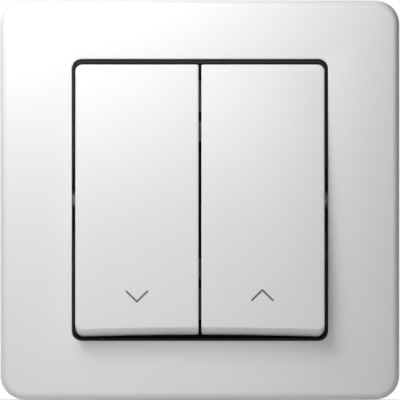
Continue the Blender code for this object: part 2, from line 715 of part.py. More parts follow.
def make_rocker(name, side, parts, tools, empty):
    """Rocker cap: hollow shell with pivot ear and pin, ribs, and two clip legs for the lever."""
    sections = rocker_sections(side)
    rim = (-ROCKER_RIM, sections[-1][1])
    rocker = loft(name, parts, sections + [rim], "white_plastic")
    face = ROCKER_EDGE / 2 - ROCKER_FACE
    round_edges(rocker, ROCKER_EDGE, ROCKER_EDGE_STEPS, lambda point: point.y < face)
    hollow = rocker_sections(side, ROCKER_WALL)
    open_end = (OVERCUT - ROCKER_RIM, hollow[-1][1])
    cut(rocker, loft(f"{name}_hollow", tools, hollow + [open_end]))
    outer = side * (ROCKER_OUTER - FACE_STEP)
    wall = outer - side * ROCKER_WALL
    neck = (wall, outer, -ROCKER_FACE / 2, 0, -EAR_RADIUS, EAR_RADIUS)
    join(rocker,
         boxes(f"{name}_ear_neck", tools, [neck]),
         level_rod(f"{name}_ear", tools, wall, outer, EAR_RADIUS),
         level_rod(f"{name}_pin", tools, (wall + outer) / 2, side * (ROCKER_OUTER + PIN_LENGTH), PIN_RADIUS),
         boxes(f"{name}_ribs", tools, rocker_ribs(side)),
         *rocker_clips(name, side, tools))
    smooth(rocker)
    hang(rocker, empty)


def make_lever(name, side, parts, tools, empty):
    """Lever: plate for the rocker's clips, hub with two studs, and a tube for the spring and plunger."""
    middle, reach = side * ROCKER_MIDDLE, LEVER_HALF + STUD_LENGTH
    start, end = middle - LEVER_HALF, middle + LEVER_HALF
    front = -LEVER_REAR - LEVER_PLATE
    lever = boxes(name, parts, [
        (start, end, front, -LEVER_REAR, -LEVER_HEIGHT / 2, LEVER_HEIGHT / 2)], "grey_plastic")
    join(lever,
         level_rod(f"{name}_hub", tools, start, end, HUB_RADIUS),
         level_rod(f"{name}_studs", tools, middle - reach, middle + reach, STUD_RADIUS),
         depth_rod(f"{name}_tube", tools, middle, 0, front + LEVER_PLATE / 2, TUBE_LENGTH, TUBE_RADIUS))
    cut(lever, depth_rod(f"{name}_bore", tools, middle, 0, BORE_START, TUBE_LENGTH + OVERCUT, TUBE_BORE))
    smooth(lever)
    hang(lever, empty)


def make_spring(name, side, parts, empty):
    """Compression spring in the lever tube, one wire along a helix."""
    curve = bpy.data.curves.new(name, "CURVE")
    curve.dimensions = "3D"
    curve.bevel_depth = SPRING_WIRE / 2
    curve.bevel_resolution = WIRE_STEPS
    curve.use_fill_caps = True
    coil = PLUNGER_RADIUS - SPRING_WIRE / 2
    count = SPRING_TURNS * SPRING_STEPS
    spline = curve.splines.new("POLY")
    spline.points.add(count)
    for index, point in enumerate(spline.points):
        angle = math.tau * index / SPRING_STEPS
        along = SPRING_START + SPRING_WIRE / 2 + (SPRING_LENGTH - SPRING_WIRE) * index / count
        point.co = (side * ROCKER_MIDDLE + coil * math.cos(angle), along, coil * math.sin(angle), 1)
    guide = bpy.data.objects.new(name, curve)
    parts.objects.link(guide)
    spring = new_object(name, mesh_from_curve(guide), parts, "spring_steel")
    spring.data.shade_smooth()
    hang(spring, empty)


def make_plunger(name, side, parts, empty):
    """Plunger with a domed tip, turned on the tube's axis."""
    dome = PLUNGER_TIP - PLUNGER_RADIUS
    profile = [(0, PLUNGER_TIP)]
    for step in range(1, CORNER_STEPS + 1):
        angle = math.radians(90) * step / CORNER_STEPS
        profile.append((PLUNGER_RADIUS * math.sin(angle), dome + PLUNGER_RADIUS * math.cos(angle)))
    profile += [(PLUNGER_RADIUS, PLUNGER_START), (0, PLUNGER_START)]
    mesh = bpy.data.meshes.new(name)
    mesh.from_pydata([(radius, 0, along) for radius, along in profile],
                     [(index, index + 1) for index in range(len(profile) - 1)], [])
    plunger = new_object(name, mesh, parts, "black_plastic")
    turned = plunger.modifiers.new("turned", "SCREW")
    turned.steps = ROUND_STEPS
    turned.render_steps = ROUND_STEPS
    turned.use_merge_vertices = True
    turned.merge_threshold = MERGE_DISTANCE
    plunger.location = (side * ROCKER_MIDDLE, 0, 0)
    plunger.rotation_euler = (math.radians(-90), 0, 0)
    smooth(plunger)
    hang(plunger, empty)


def make_support_ring(parts):
    """Steel plate: neck hole, slots for the box screws, cover screw holes and windows for the hooks."""
    long, narrow = BOX_SLOT_LENGTH / 2, BOX_SLOT_WIDTH / 2
    hook_reach, hook_far = HOOK_WIDTH / 2 + SEAT_GAP, HOOK_FAR + HOOK_NOSE + SEAT_GAP
    outlines = [centred(PLATE_HALF, PLATE_HALF, PLATE_CORNER),
                chamfered(SPIGOT_X + SEAT_GAP, SPIGOT_Z + SEAT_GAP, FLANGE_CHAMFER)]
    for sign in (-1, 1):
        place = sign * BOX_SCREW_PITCH / 2
        outlines.append(outline(place - narrow, place + narrow, -long, long, narrow))
        outlines.append(outline(-long, long, place - narrow, place + narrow, narrow))
        outlines.append(circle(0, sign * COVER_SCREW_PLACE, COVER_SCREW_RADIUS + SCREW_GAP))
        for x in (-HOOK_PLACE, HOOK_PLACE):
            outlines.append(window(x - hook_reach, x + hook_reach,
                                   sign * (HOOK_NEAR - SEAT_GAP), sign * hook_far))
    plate("support_ring", parts, outlines, PLATE_FRONT, 0, "zinc_steel")


def make_bearings(cover, tools):
    """Four bearing cheeks beside two windows, with snap-in sockets for the levers' studs."""
    top = -PIVOT_DEPTH - CHEEK_RISE
    root = FLANGE_FRONT + FLANGE_THICKNESS / 2
    mouth = STUD_RADIUS - SNAP_IN
    half = TUBE_RADIUS + WINDOW_SPACE
    windows = [(side * ROCKER_MIDDLE - CHEEK_INNER, side * ROCKER_MIDDLE + CHEEK_INNER,
                top - OVERCUT, SPIGOT_REAR + OVERCUT, -half, half) for side in SIDES.values()]
    cheeks, sockets = [], []
    for side_name, side in SIDES.items():
        for sign in (-1, 1):
            near = side * ROCKER_MIDDLE + sign * CHEEK_INNER
            far = near + sign * CHEEK_WALL
            start, end = near - sign * OVERCUT / 2, far + sign * OVERCUT / 2
            label = f"{side_name}_{sign}"
            cheeks.append(boxes(f"cover_cheek_{label}", tools, [
                (start, far, top, root, -CHEEK_HEIGHT / 2, CHEEK_HEIGHT / 2)]))
            sockets.append(level_rod(f"cover_socket_{label}", tools, start, end, STUD_RADIUS + PIN_GAP,
                                     depth=-PIVOT_DEPTH))
            sockets.append(boxes(f"cover_mouth_{label}", tools, [
                (start, end, top - OVERCUT, -PIVOT_DEPTH, -mouth, mouth)]))
    join(cover, *cheeks)
    cut(cover, boxes("cover_windows", tools, windows), *sockets)


def make_mechanism_cover(parts, tools):
    """Front plate of the mechanism: flange, spigot, bearings for the levers and screw holes."""
    cover = plate("mechanism_cover", parts, [chamfered(FLANGE_X, FLANGE_Z, FLANGE_CHAMFER)],
                  FLANGE_FRONT, FLANGE_REAR, "grey_plastic")
    join(cover, plate("cover_spigot", tools, [chamfered(SPIGOT_X, SPIGOT_Z, FLANGE_CHAMFER)],
                      FLANGE_FRONT + FLANGE_THICKNESS / 2, SPIGOT_REAR))
    make_bearings(cover, tools)
    for name, sign in (("top", 1), ("bottom", -1)):
        cut(cover, depth_rod(f"cover_screw_hole_{name}", tools, 0, sign * COVER_SCREW_PLACE,
                             FLANGE_FRONT - OVERCUT, SPIGOT_REAR + OVERCUT, COVER_SCREW_RADIUS + SCREW_GAP))
    smooth(cover)


def rear_recesses():
    """Limits of the recesses in the base's rear: columns and rows between equal ribs."""
    room_x, room_z = CHAMBER_X - RECESS_MARGIN, CHAMBER_Z - RECESS_MARGIN
    width = (2 * room_x + RECESS_RIB) / RECESS_COLUMNS - RECESS_RIB
    height = (2 * room_z + RECESS_RIB) / RECESS_ROWS - RECESS_RIB
    cells = []
    for column in range(RECESS_COLUMNS):
        x = column * (width + RECESS_RIB) - room_x
        for row in range(RECESS_ROWS):
            z = row * (height + RECESS_RIB) - room_z
            cells.append((x, x + width, BASE_DEPTH - RECESS_DEPTH, BASE_DEPTH + OVERCUT, z, z + height))
    return cells


def make_mechanism_base(parts, tools):
    """Rear housing: contact chamber with divider, terminal pockets, wire funnels and screw openings."""
    base = plate("mechanism_base", parts, [chamfered(BASE_X, BASE_Z, BASE_CHAMFER)],
                 BASE_FRONT, BASE_DEPTH, "black_plastic")
    cut(base, plate("base_chamber", tools, [chamfered(CHAMBER_X, CHAMBER_Z, BASE_WALL)],
                    BASE_FRONT - OVERCUT, FLOOR_DEPTH))
    for name, (x, sign) in TERMINALS.items():
        wire_z = sign * WIRE_PLACE
        pocket = (x - POCKET_X, x + POCKET_X, BASE_FRONT - OVERCUT, FLOOR_DEPTH,
                  sign * (CHAMBER_Z - OVERCUT), sign * POCKET_END)
        funnel = ((x, BASE_DEPTH - WIRE_FUNNEL, wire_z), (x, BASE_DEPTH + WIRE_FUNNEL, wire_z),
                  WIRE_HOLE, WIRE_HOLE + WIRE_FUNNEL * 2)
        cut(base,
            boxes(f"base_pocket_{name}", tools, [pocket]),
            depth_rod(f"base_wire_{name}", tools, x, wire_z, FLOOR_DEPTH - OVERCUT, BASE_DEPTH + OVERCUT,
                      WIRE_HOLE),
            rods(f"base_funnel_{name}", tools, [funnel]),
            upright_rod(f"base_access_{name}", tools, x, CLAMP_MIDDLE, sign * (POCKET_END - OVERCUT),
                        sign * (BASE_Z + OVERCUT), CLAMP_SCREW_HEAD + SEAT_GAP))
    for name, sign in (("top", 1), ("bottom", -1)):
        cut(base, depth_rod(f"base_pilot_{name}", tools, 0, sign * COVER_SCREW_PLACE, BASE_FRONT - OVERCUT,
                            FLANGE_FRONT + COVER_SCREW_LENGTH + SEAT_GAP, COVER_SCREW_RADIUS + SCREW_GAP))
    cut(base, boxes("base_recesses", tools, rear_recesses()))
    join(base, boxes("base_divider", tools, [
        (-DIVIDER / 2, DIVIDER / 2, SPIGOT_REAR + SEAT_GAP, STRAP_DEPTH - SEAT_GAP,
         -CHAMBER_Z - OVERCUT, CHAMBER_Z + OVERCUT)]))
    smooth(base)


def make_cover_screw(name, sign, parts, tools):
    """Pan-head screw through cover and plate into the base, with a driver slot."""
    z = sign * COVER_SCREW_PLACE
    seat = FLANGE_FRONT - SEAT_GAP
    top = seat - COVER_SCREW_HEAD_DEPTH
    reach = COVER_SCREW_HEAD + OVERCUT
    screw = depth_rod(name, parts, 0, z, (top + seat) / 2, seat + COVER_SCREW_LENGTH, COVER_SCREW_RADIUS,
                      "zinc_steel")
    join(screw, depth_rod(f"{name}_head", tools, 0, z, top, seat, COVER_SCREW_HEAD))
    cut(screw, boxes(f"{name}_slot", tools, [
        (-reach, reach, top - OVERCUT, top + SLOT_DEPTH, z - SLOT_WIDTH / 2, z + SLOT_WIDTH / 2)]))
    smooth(screw)


def make_contact_arm(name, side, parts, tools, empty):
    """Tilting contact: brass arm with side tabs for its bearing and a contact button near each end."""
    middle, half_x, half_z = side * ROCKER_MIDDLE, CONTACT_WIDTH / 2, CONTACT_HEIGHT / 2
    tab_x, tab_z = TAB_SPAN / 2, TAB_HEIGHT / 2
    arm = plate(name, parts, [outline(middle - half_x, middle + half_x, -half_z, half_z, half_x / 2)],
                -CONTACT_THICKNESS, 0, "brass")
    join(arm, boxes(f"{name}_tabs", tools, [
        (middle - tab_x, middle + tab_x, -CONTACT_THICKNESS, 0, -tab_z, tab_z)]))
    for end, sign in (("top", 1), ("bottom", -1)):
        join(arm, depth_rod(f"{name}_button_{end}", tools, middle, sign * CONTACT_PLACE,
                            -CONTACT_THICKNESS / 2, BUTTON_DEPTH, BUTTON_RADIUS))
    smooth(arm)
    hang(arm, empty)


def make_cradle(piece, middle, tools):
    """Two bent-up ears with notches, in which the tabs of a contact arm rock."""
    half, notch = EAR_HEIGHT / 2, TAB_HEIGHT / 2 + TAB_GAP
    for sign in (-1, 1):
        near = middle + sign * (CONTACT_WIDTH / 2 + SEAT_GAP)
        far = near + sign * EAR_WALL
        join(piece, boxes(f"{piece.name}_ear_{sign}", tools, [
            (near, far, CONTACT_FRONT - SEAT_GAP, STRAP_REAR - STRAP_THICKNESS / 2, -half, half)]))
        cut(piece, boxes(f"{piece.name}_notch_{sign}", tools, [
            (near - sign * OVERCUT, far + sign * OVERCUT, CONTACT_FRONT - OVERCUT, CONTACT_REAR + SEAT_GAP,
             -notch, notch)]))


def make_button(piece, x, z, tools):
    """Fixed contact button on a strap."""
    join(piece, depth_rod(f"{piece.name}_button", tools, x, z, STRAP_DEPTH - BUTTON_DEPTH,
                          STRAP_REAR - STRAP_THICKNESS / 2, BUTTON_RADIUS))


def make_tongue(piece, x, sign, tools):
    """Tongue bent up from a strap into its terminal box."""
    end = sign * TONGUE_PLACE
    join(piece, boxes(f"{piece.name}_tongue", tools, [
        (x - TONGUE_WIDTH / 2, x + TONGUE_WIDTH / 2, CLAMP_FRONT + SEAT_GAP, STRAP_REAR,
         end - sign * STRAP_THICKNESS, end)]))


def make_strap(name, points, parts):
    """Flat brass strap on the base's floor."""
    return plate(name, parts, [points], STRAP_DEPTH, STRAP_REAR, "brass")


def make_feed_strap(parts, tools):
    """Feed: from its terminal along the wall to the bearing of the up arm."""
    start, end = TERMINAL_PLACE - TONGUE_WIDTH / 2, TERMINAL_PLACE + TONGUE_WIDTH / 2
    root = STRAP_THICKNESS / 2 - TONGUE_PLACE
    low, top = -SPIGOT_Z, -CONTACT_PLACE - PAD - FEED_GAP
    inside, half = ROCKER_MIDDLE - CRADLE, EAR_HEIGHT / 2
    feed = make_strap("feed_strap", [
        (start, root), (end, root), (end, low), (LANE_OUTER - BASE_WALL, low), (LANE_OUTER, low + BASE_WALL),
        (LANE_OUTER, half), (inside, half), (inside, -half), (LANE_INNER, -half), (LANE_INNER, top),
        (start, top)], parts)
    make_cradle(feed, ROCKER_MIDDLE, tools)
    make_tongue(feed, TERMINAL_PLACE, -1, tools)
    smooth(feed)


def make_link_strap(parts, tools):
    """Link: from the rest contact of the up arm to the bearing of the down arm, so that up has priority."""
    outside, inside = -ROCKER_MIDDLE - CRADLE, -ROCKER_MIDDLE + CRADLE
    low, top = -CONTACT_PLACE - PAD, -CONTACT_PLACE + PAD
    end, half = ROCKER_MIDDLE + PAD, EAR_HEIGHT / 2
    link = make_strap("link_strap", [
        (outside, low), (end, low), (end, top), (inside, top), (inside, half), (outside, half)], parts)
    make_button(link, ROCKER_MIDDLE, -CONTACT_PLACE, tools)
    make_cradle(link, -ROCKER_MIDDLE, tools)
    smooth(link)


def make_output_strap(name, side, parts, tools):
    """Output: from the working contact of an arm to its terminal."""
    start, end = TERMINAL_PLACE - TONGUE_WIDTH / 2, TERMINAL_PLACE + TONGUE_WIDTH / 2
    root = TONGUE_PLACE - STRAP_THICKNESS / 2
    low, top = CONTACT_PLACE - PAD, CONTACT_PLACE + PAD
    points = [(ROCKER_MIDDLE - PAD, low), (ROCKER_MIDDLE + PAD, low), (ROCKER_MIDDLE + PAD, top),
              (end, SPIGOT_Z), (end, root), (start, root), (start, SPIGOT_Z)]
    output = make_strap(name, mirrored(points, side), parts)
    make_button(output, side * ROCKER_MIDDLE, CONTACT_PLACE, tools)
    make_tongue(output, side * TERMINAL_PLACE, 1, tools)
    smooth(output)


def make_terminal(name, x, sign, parts, tools):
    """Terminal box round the strap's tongue, and the slotted screw that closes it."""
    start, end = sign * CLAMP_START, sign * CLAMP_END
    clamp = boxes(f"clamp_{name}", parts, [
        (x - CLAMP_WIDTH / 2, x + CLAMP_WIDTH / 2, CLAMP_FRONT, CLAMP_REAR, start, end)], "brass")
    cut(clamp,
        boxes(f"clamp_window_{name}", tools, [
            (x - CLAMP_WINDOW / 2, x + CLAMP_WINDOW / 2, CLAMP_FRONT - OVERCUT, CLAMP_REAR + OVERCUT,
             start + sign * CLAMP_FLOOR, end - sign * CLAMP_ROOF)]),
        upright_rod(f"clamp_hole_{name}", tools, x, CLAMP_MIDDLE, end - sign * (CLAMP_ROOF + OVERCUT),
                    end + sign * OVERCUT, CLAMP_SCREW_RADIUS + SCREW_GAP))
    seat = end + sign * SEAT_GAP
    top = seat + sign * CLAMP_SCREW_HEAD_LENGTH
    reach = CLAMP_SCREW_HEAD + OVERCUT
    screw = upright_rod(f"clamp_screw_{name}", parts, x, CLAMP_MIDDLE, seat - sign * CLAMP_SCREW_LENGTH,
                        (seat + top) / 2, CLAMP_SCREW_RADIUS, "zinc_steel")
    join(screw, upright_rod(f"clamp_screw_head_{name}", tools, x, CLAMP_MIDDLE, seat, top, CLAMP_SCREW_HEAD))
    cut(screw, boxes(f"clamp_screw_slot_{name}", tools, [
        (x - reach, x + reach, CLAMP_MIDDLE - SLOT_WIDTH / 2, CLAMP_MIDDLE + SLOT_WIDTH / 2,
         top - sign * SLOT_DEPTH, top + sign * OVERCUT)]))
    smooth(screw)


def main():
    """Build the whole switch."""
    clear_scene()
    parts = collection("roller_shutter_switch")
    tools = collection("cutters")
    make_cover_frame(parts, tools)
    make_trim_ring(parts, tools)
    make_support_ring(parts)
    make_mechanism_cover(parts, tools)
    make_mechanism_base(parts, tools)
    make_feed_strap(parts, tools)
    make_link_strap(parts, tools)
    for name, side in SIDES.items():
        empty = pivot(f"pivot_{name}", parts, -PIVOT_DEPTH, -ROCKER_TILT)
        make_rocker(f"rocker_{name}", side, parts, tools, empty)
        make_lever(f"lever_{name}", side, parts, tools, empty)
        make_spring(f"snap_spring_{name}", side, parts, empty)
        make_plunger(f"plunger_{name}", side, parts, empty)
        bearing = pivot(f"bearing_{name}", parts, CONTACT_REAR, CONTACT_TILT)
        make_contact_arm(f"contact_arm_{name}", side, parts, tools, bearing)
        make_output_strap(f"strap_{name}", side, parts, tools)
    for name, (x, sign) in TERMINALS.items():
        make_terminal(name, x, sign, parts, tools)
    make_cover_screw("cover_screw_top", 1, parts, tools)
    make_cover_screw("cover_screw_bottom", -1, parts, tools)


main()
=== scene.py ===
"""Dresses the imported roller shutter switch: mouldings, printed signs, finishes, light and camera.

Lengths are metres in the shared frame: x to the right, y into the wall from its face at 0, z up.
"""

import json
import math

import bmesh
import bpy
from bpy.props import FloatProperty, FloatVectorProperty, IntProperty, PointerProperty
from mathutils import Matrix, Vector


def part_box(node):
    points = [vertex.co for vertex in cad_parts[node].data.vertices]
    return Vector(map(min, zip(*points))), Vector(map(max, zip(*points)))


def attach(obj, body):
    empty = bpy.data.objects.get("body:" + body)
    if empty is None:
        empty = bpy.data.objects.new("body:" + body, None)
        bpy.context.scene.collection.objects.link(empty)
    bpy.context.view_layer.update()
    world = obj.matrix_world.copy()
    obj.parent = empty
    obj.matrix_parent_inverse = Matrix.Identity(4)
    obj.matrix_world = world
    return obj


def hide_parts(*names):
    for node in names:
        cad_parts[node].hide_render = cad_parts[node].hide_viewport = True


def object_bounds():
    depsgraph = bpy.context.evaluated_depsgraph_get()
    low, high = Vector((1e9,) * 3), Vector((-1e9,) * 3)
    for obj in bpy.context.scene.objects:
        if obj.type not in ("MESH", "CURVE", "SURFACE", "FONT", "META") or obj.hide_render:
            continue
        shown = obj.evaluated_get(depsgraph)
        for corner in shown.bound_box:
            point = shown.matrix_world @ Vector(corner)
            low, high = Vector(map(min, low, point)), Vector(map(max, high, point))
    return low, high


bl_info = {
    "name": "Roller shutter switch dressing",
    "version": (1, 0, 0),
    "blender": (4, 5, 0),
    "location": "3D View > Sidebar > Switch",
    "description": "Builds the mouldings, signs, finishes and stage of a two-rocker shutter switch",
    "category": "Object",
}

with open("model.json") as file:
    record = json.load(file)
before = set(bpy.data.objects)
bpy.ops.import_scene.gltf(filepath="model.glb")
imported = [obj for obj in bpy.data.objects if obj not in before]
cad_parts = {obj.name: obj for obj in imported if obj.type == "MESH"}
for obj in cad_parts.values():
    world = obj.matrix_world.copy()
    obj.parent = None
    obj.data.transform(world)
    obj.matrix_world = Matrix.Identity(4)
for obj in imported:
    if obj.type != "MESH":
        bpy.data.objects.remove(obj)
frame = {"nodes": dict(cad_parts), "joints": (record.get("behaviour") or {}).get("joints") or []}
CAD_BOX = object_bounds()
FRAME_LOW, FRAME_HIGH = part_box("cover_frame")
HINGES = {joint["name"]: joint for joint in frame["joints"]}
SIDES = {"down": -1, "up": 1}  # the left and the right rocker
QUARTER_TURN = math.radians(90)
SMOOTH_ANGLE = math.radians(30)
NOISE_MIDDLE = 0.5
WHITE = (1.0, 1.0, 1.0, 1.0)


def metres(name, text, default):
    """Length property in metres."""
    return FloatProperty(name=name, description=text, default=default, min=0.0, precision=5,
                         subtype="DISTANCE", unit="LENGTH")


def place_of(name, text, default):
    """Point property in metres."""
    return FloatVectorProperty(name=name, description=text, default=default, size=3, precision=4,
                               subtype="TRANSLATION", unit="LENGTH")


def watts(name, text, default):
    """Power property of a lamp."""
    return FloatProperty(name=name, description=text, default=default, min=0.0, precision=3,
                         subtype="POWER", unit="POWER")


def share(name, text, default, least=0.0):
    """Property up to one, from nought or from the least value given."""
    return FloatProperty(name=name, description=text, default=default, min=least, max=1.0,
                         subtype="FACTOR")


def colour(name, text, default):
    """Linear colour property."""
    return FloatVectorProperty(name=name, description=text, default=default, min=0.0, max=1.0,
                               size=3, subtype="COLOR")


def count(name, text, default, least):
    """Whole number property."""
    return IntProperty(name=name, description=text, default=default, min=least)


class FrameSizes(bpy.types.PropertyGroup):
    """Sizes of the cover frame."""

    side: metres("Side", "Width and height of the cover frame", FRAME_HIGH.x - FRAME_LOW.x)
    depth: metres("Depth", "From the wall to the front face", FRAME_HIGH.y - FRAME_LOW.y)
    corner: metres("Corner", "Radius of the outer corners", 0.0048)
    edge: metres("Edge", "Rounding of the front edge", 0.0015)
    wall: metres("Wall", "Thickness of web and side walls", 0.002)
    opening_width: metres("Opening width", "Width of the opening", 0.052)
    opening_height: metres("Opening height", "Height of the opening", 0.0572)
    opening_corner: metres("Opening corner", "Corner radius of the opening", 0.002)
    opening_edge: metres("Opening edge", "Rounding of the opening's front edge", 0.00026)
    collar_gap: metres("Collar gap", "From the opening to the inside of the collar", 0.0019)
    collar_wall: metres("Collar wall", "Thickness of the collar behind the web", 0.0013)
    collar_depth: metres("Collar depth", "How far the collar reaches behind the web", 0.0043)
    rib: metres("Rib", "Thickness of the ribs behind the web", 0.0012)
    rib_depth: metres("Rib depth", "Depth of the ribs behind the web", 0.0035)
    rib_place: metres("Rib place", "Distance of the ribs from the middle", 0.017)
    snap_place: metres("Snap place", "Distance of the snap beads from the middle height", 0.012)
    snap_width: metres("Snap width", "Length of a snap bead", 0.005)
    snap_bead: metres("Snap bead", "Radius of a snap bead", 0.0005)
    snap_back: metres("Snap back", "From the collar's end to the middle of a snap bead", 0.0013)


class RingSizes(bpy.types.PropertyGroup):
    """Sizes of the dark bezel."""

    recess: metres("Recess", "How far the lip lies behind the frame's face", 0.0004)
    gap: metres("Gap", "Between the lip and the frame's opening", 0.00012)
    lip: metres("Lip", "Thickness of the lip at the sides and foot", 0.00036)
    top_lip: metres("Top lip", "Thickness of the lip at the head", 0.00073)
    lip_edge: metres("Lip edge", "Rounding of the lip at the sides and foot", 0.00008)
    top_edge: metres("Top edge", "Rounding of the lip at the head", 0.0003)
    wall: metres("Wall", "How far the wall reaches behind the frame", 0.0016)
    seat: metres("Seat", "Gap to the pieces that it touches", 0.0003)
    ledge: metres("Ledge", "Thickness of the ledge", 0.0016)
    ledge_reach: metres("Ledge reach", "Width of the ledge at head and foot", 0.0043)
    side_ledge: metres("Side ledge", "Width of the ledge at the sides", 0.0026)
    relief: metres("Relief", "Relief of the wall below the foot of the rockers", 0.0003)
    rear: metres("Rear", "Depth of the ring's rear before the wall plane", 0.0013)
    foot: metres("Foot", "Width of the rear rim", 0.0014)
    notch_height: metres("Notch height", "Height of the side notches", 0.013)
    notch_depth: metres("Notch depth", "Depth of the side notches", 0.0035)
    ear_pocket: metres("Ear pocket", "Height of the pockets for the rocker ears", 0.0086)
    pin_slot: metres("Pin slot", "Height of the slots for the rocker pins", 0.004)
    step: metres("Step", "Offset that keeps neighbouring faces apart", 0.0001)
    overcut: metres("Overcut", "How far cutting tools reach past what they cut", 0.0016)
    hook_place: metres("Hook place", "Distance of the hooks from the middle", 0.008)
    hook_width: metres("Hook width", "Width of a hook", 0.004)
    hook_wall: metres("Hook wall", "Thickness of a hook", 0.0012)
    hook_nose: metres("Hook nose", "How far the hook's nose stands out", 0.0008)
    hook_reach: metres("Hook reach", "How far the hooks reach behind the wall plane", 0.0012)


class RockerSizes(bpy.types.PropertyGroup):
    """Sizes of one rocker cap, from its pivot axis."""

    inner: metres("Inner side", "From the middle of the switch to the inner side", 0.000285)
    outer: metres("Outer side", "From the middle of the switch to the outer side", 0.0253)
    face: metres("Face", "From the pivot axis to the face", 0.008)
    rim: metres("Rim", "From the pivot axis to the rear rim", 0.0024)
    top: metres("Top", "From the pivot axis to the head", 0.02709)
    foot: metres("Foot", "From the pivot axis to the foot of the chin's arc at the face", 0.0266)
    lift: metres("Foot lift", "How far the face's lower edge lies above that arc", 0.00025)
    sole: metres("Sole", "From the pivot axis to the end of the chin", 0.003)
    edge: metres("Edge", "Rounding of the face at its sides and head", 0.00035)
    foot_edge: metres("Foot edge", "Rounding of the face at its foot", 0.00012)
    wall: metres("Wall", "Thickness of the cap", 0.0015)
    top_corner: metres("Top corner", "Radius of the outer corner at the head", 0.0014)
    foot_corner: metres("Foot corner", "Radius of the outer corner of the face's foot", 0.0012)
    sole_corner: metres("Sole corner", "Radius of the outer corner at the chin's end", 0.0017)
    inner_corner: metres("Inner corner", "Radius of the corners at the split", 0.0004)
    bow: metres("Foot bow", "Radius of the shallow bow of the foot", 0.664)
    pin: metres("Pin", "Radius of the pivot pin", 0.0018)
    pin_length: metres("Pin length", "How far the pin stands out", 0.0013)
    ear: metres("Ear", "Radius of the pivot ear", 0.0022)
    rib: metres("Rib", "Thickness of the ribs and pads inside", 0.001)
    rib_depth: metres("Rib depth", "Depth of the ribs inside", 0.0012)
    near_rib: metres("Near rib", "From the pivot axis to the nearer ribs", 0.014)
    far_rib: metres("Far rib", "From the pivot axis to the farther ribs", 0.021)
    clip_wall: metres("Clip wall", "Thickness of a clip leg", 0.0012)
    clip_width: metres("Clip width", "Width of a clip leg", 0.008)
    clip_nose: metres("Clip nose", "How far a clip's nose reaches under the lever", 0.0006)
    clip_nose_depth: metres("Clip nose depth", "Thickness of a clip's nose", 0.0007)
    lever_height: metres("Lever height", "Height of the lever plate", 0.016)
    lever_plate: metres("Lever plate", "Thickness of the lever plate", 0.0018)
    lever_rear: metres("Lever rear", "From the pivot axis to the lever plate's rear", 0.0012)
    seat: metres("Seat", "Gap to the lever and the bezel's ledge", 0.0003)
    step: metres("Step", "Offset of the ear from the outer side", 0.0001)


class SignSizes(bpy.types.PropertyGroup):
    """Sizes of the printed direction signs."""

    width: metres("Width", "Width of a sign between its ends", 0.00465)
    height: metres("Height", "Height of a sign", 0.00246)
    line: metres("Line", "Width of the printed line", 0.0004)
    ink: metres("Ink", "Thickness of the print", 0.000015)
    place: metres("Place", "Middle of the signs below the pivot axis", 0.01995)
    stagger: metres("Stagger", "Height of the up sign over the down sign, halved", 0.00014)
    aside: metres("Aside", "From the up rocker's middle to its sign, towards the split", 0.00014)


class Finishes(bpy.types.PropertyGroup):
    """Colours of the finishes."""

    white: colour("White", "White mouldings", (0.80, 0.80, 0.80))
    dark: colour("Dark", "Dark bezel", (0.014, 0.014, 0.015))
    grey: colour("Grey", "Grey levers", (0.34, 0.35, 0.36))
    black: colour("Black", "Black base, cover and plungers", (0.022, 0.022, 0.023))
    sign: colour("Sign", "Ink of the signs", (0.14, 0.14, 0.14))
    zinc: colour("Zinc", "Zinc-plated clamp screws", (0.60, 0.61, 0.62))
    # The dark steel is partly a passivated finish and partly painted shade: it is darkened so that
    # the plate and screws seen through the split read as shaded.
    steel: colour("Dark steel", "Dark passivated plate and cover screws", (0.17, 0.17, 0.175))
    brass: colour("Brass", "Stamped brass", (0.72, 0.52, 0.22))
    wire: colour("Wire", "Spring wire", (0.52, 0.52, 0.53))
    white_gloss: share("White gloss", "Roughness of the white mouldings", 0.28)


class StageSettings(bpy.types.PropertyGroup):
    """Light, floor and camera."""

    floor: colour("Floor", "Colour of the floor", (0.82, 0.82, 0.82))
    floor_drift: share("Floor drift", "How much darker the floor is in places", 0.02)
    floor_radius: metres("Floor radius", "Radius of the floor's disc", 3.0)
    floor_gap: metres("Floor gap", "How far the floor lies below the switch", 0.0003)
    shadow_reach: metres("Shadow reach", "Reach of the soft shadow on the floor", 0.02)
    key_place: place_of("Key place", "Middle of the upper left lamp", (-0.07, -0.10, 0.12))
    key_power: watts("Key power", "Power of the upper left lamp", 0.183)
    front_place: place_of("Front place", "Middle of the front lamp", (-0.02, -0.10, 0.06))
    front_power: watts("Front power", "Power of the front lamp", 0.063)
    lamp_size: metres("Lamp size", "Side of each square lamp", 0.10)
    sky: share("Sky", "Even light from all sides", 0.03)
    room: share("Room", "Strength in reflections of the room before the switch", 0.05)
    room_end: share("Room end", "Cosine to the y axis at which the room ends", -0.5, -1.0)
    backdrop: share("Backdrop", "Cosine at which the white backdrop starts", 0.2, -1.0)
    picture_width: metres("Picture width", "Width of the view at the cover frame", 0.08122)
    lens: FloatProperty(name="Lens", description="Focal length", default=1000.0, min=1.0,
                        subtype="DISTANCE_CAMERA", unit="CAMERA")


class ModelSettings(bpy.types.PropertyGroup):
    """Fineness of the round forms."""

    corner_steps: count("Corner steps", "Faces round a corner", 16, 2)
    edge_steps: count("Edge steps", "Faces across a rounded edge", 8, 2)
    round_steps: count("Round steps", "Faces round a pin", 48, 8)
    floor_steps: count("Floor steps", "Sides of the floor's disc", 64, 8)


GROUPS = {
    "switch_frame": FrameSizes,
    "switch_ring": RingSizes,
    "switch_rocker": RockerSizes,
    "switch_sign": SignSizes,
    "switch_finish": Finishes,
    "switch_stage": StageSettings,
    "switch_model": ModelSettings,
}


def setting(group):
    """One property group of the scene."""
    return getattr(bpy.context.scene, f"switch_{group}")


def half_opening():
    """Half width and half height of the cover frame's opening."""
    around = setting("frame")
    return around.opening_width / 2, around.opening_height / 2


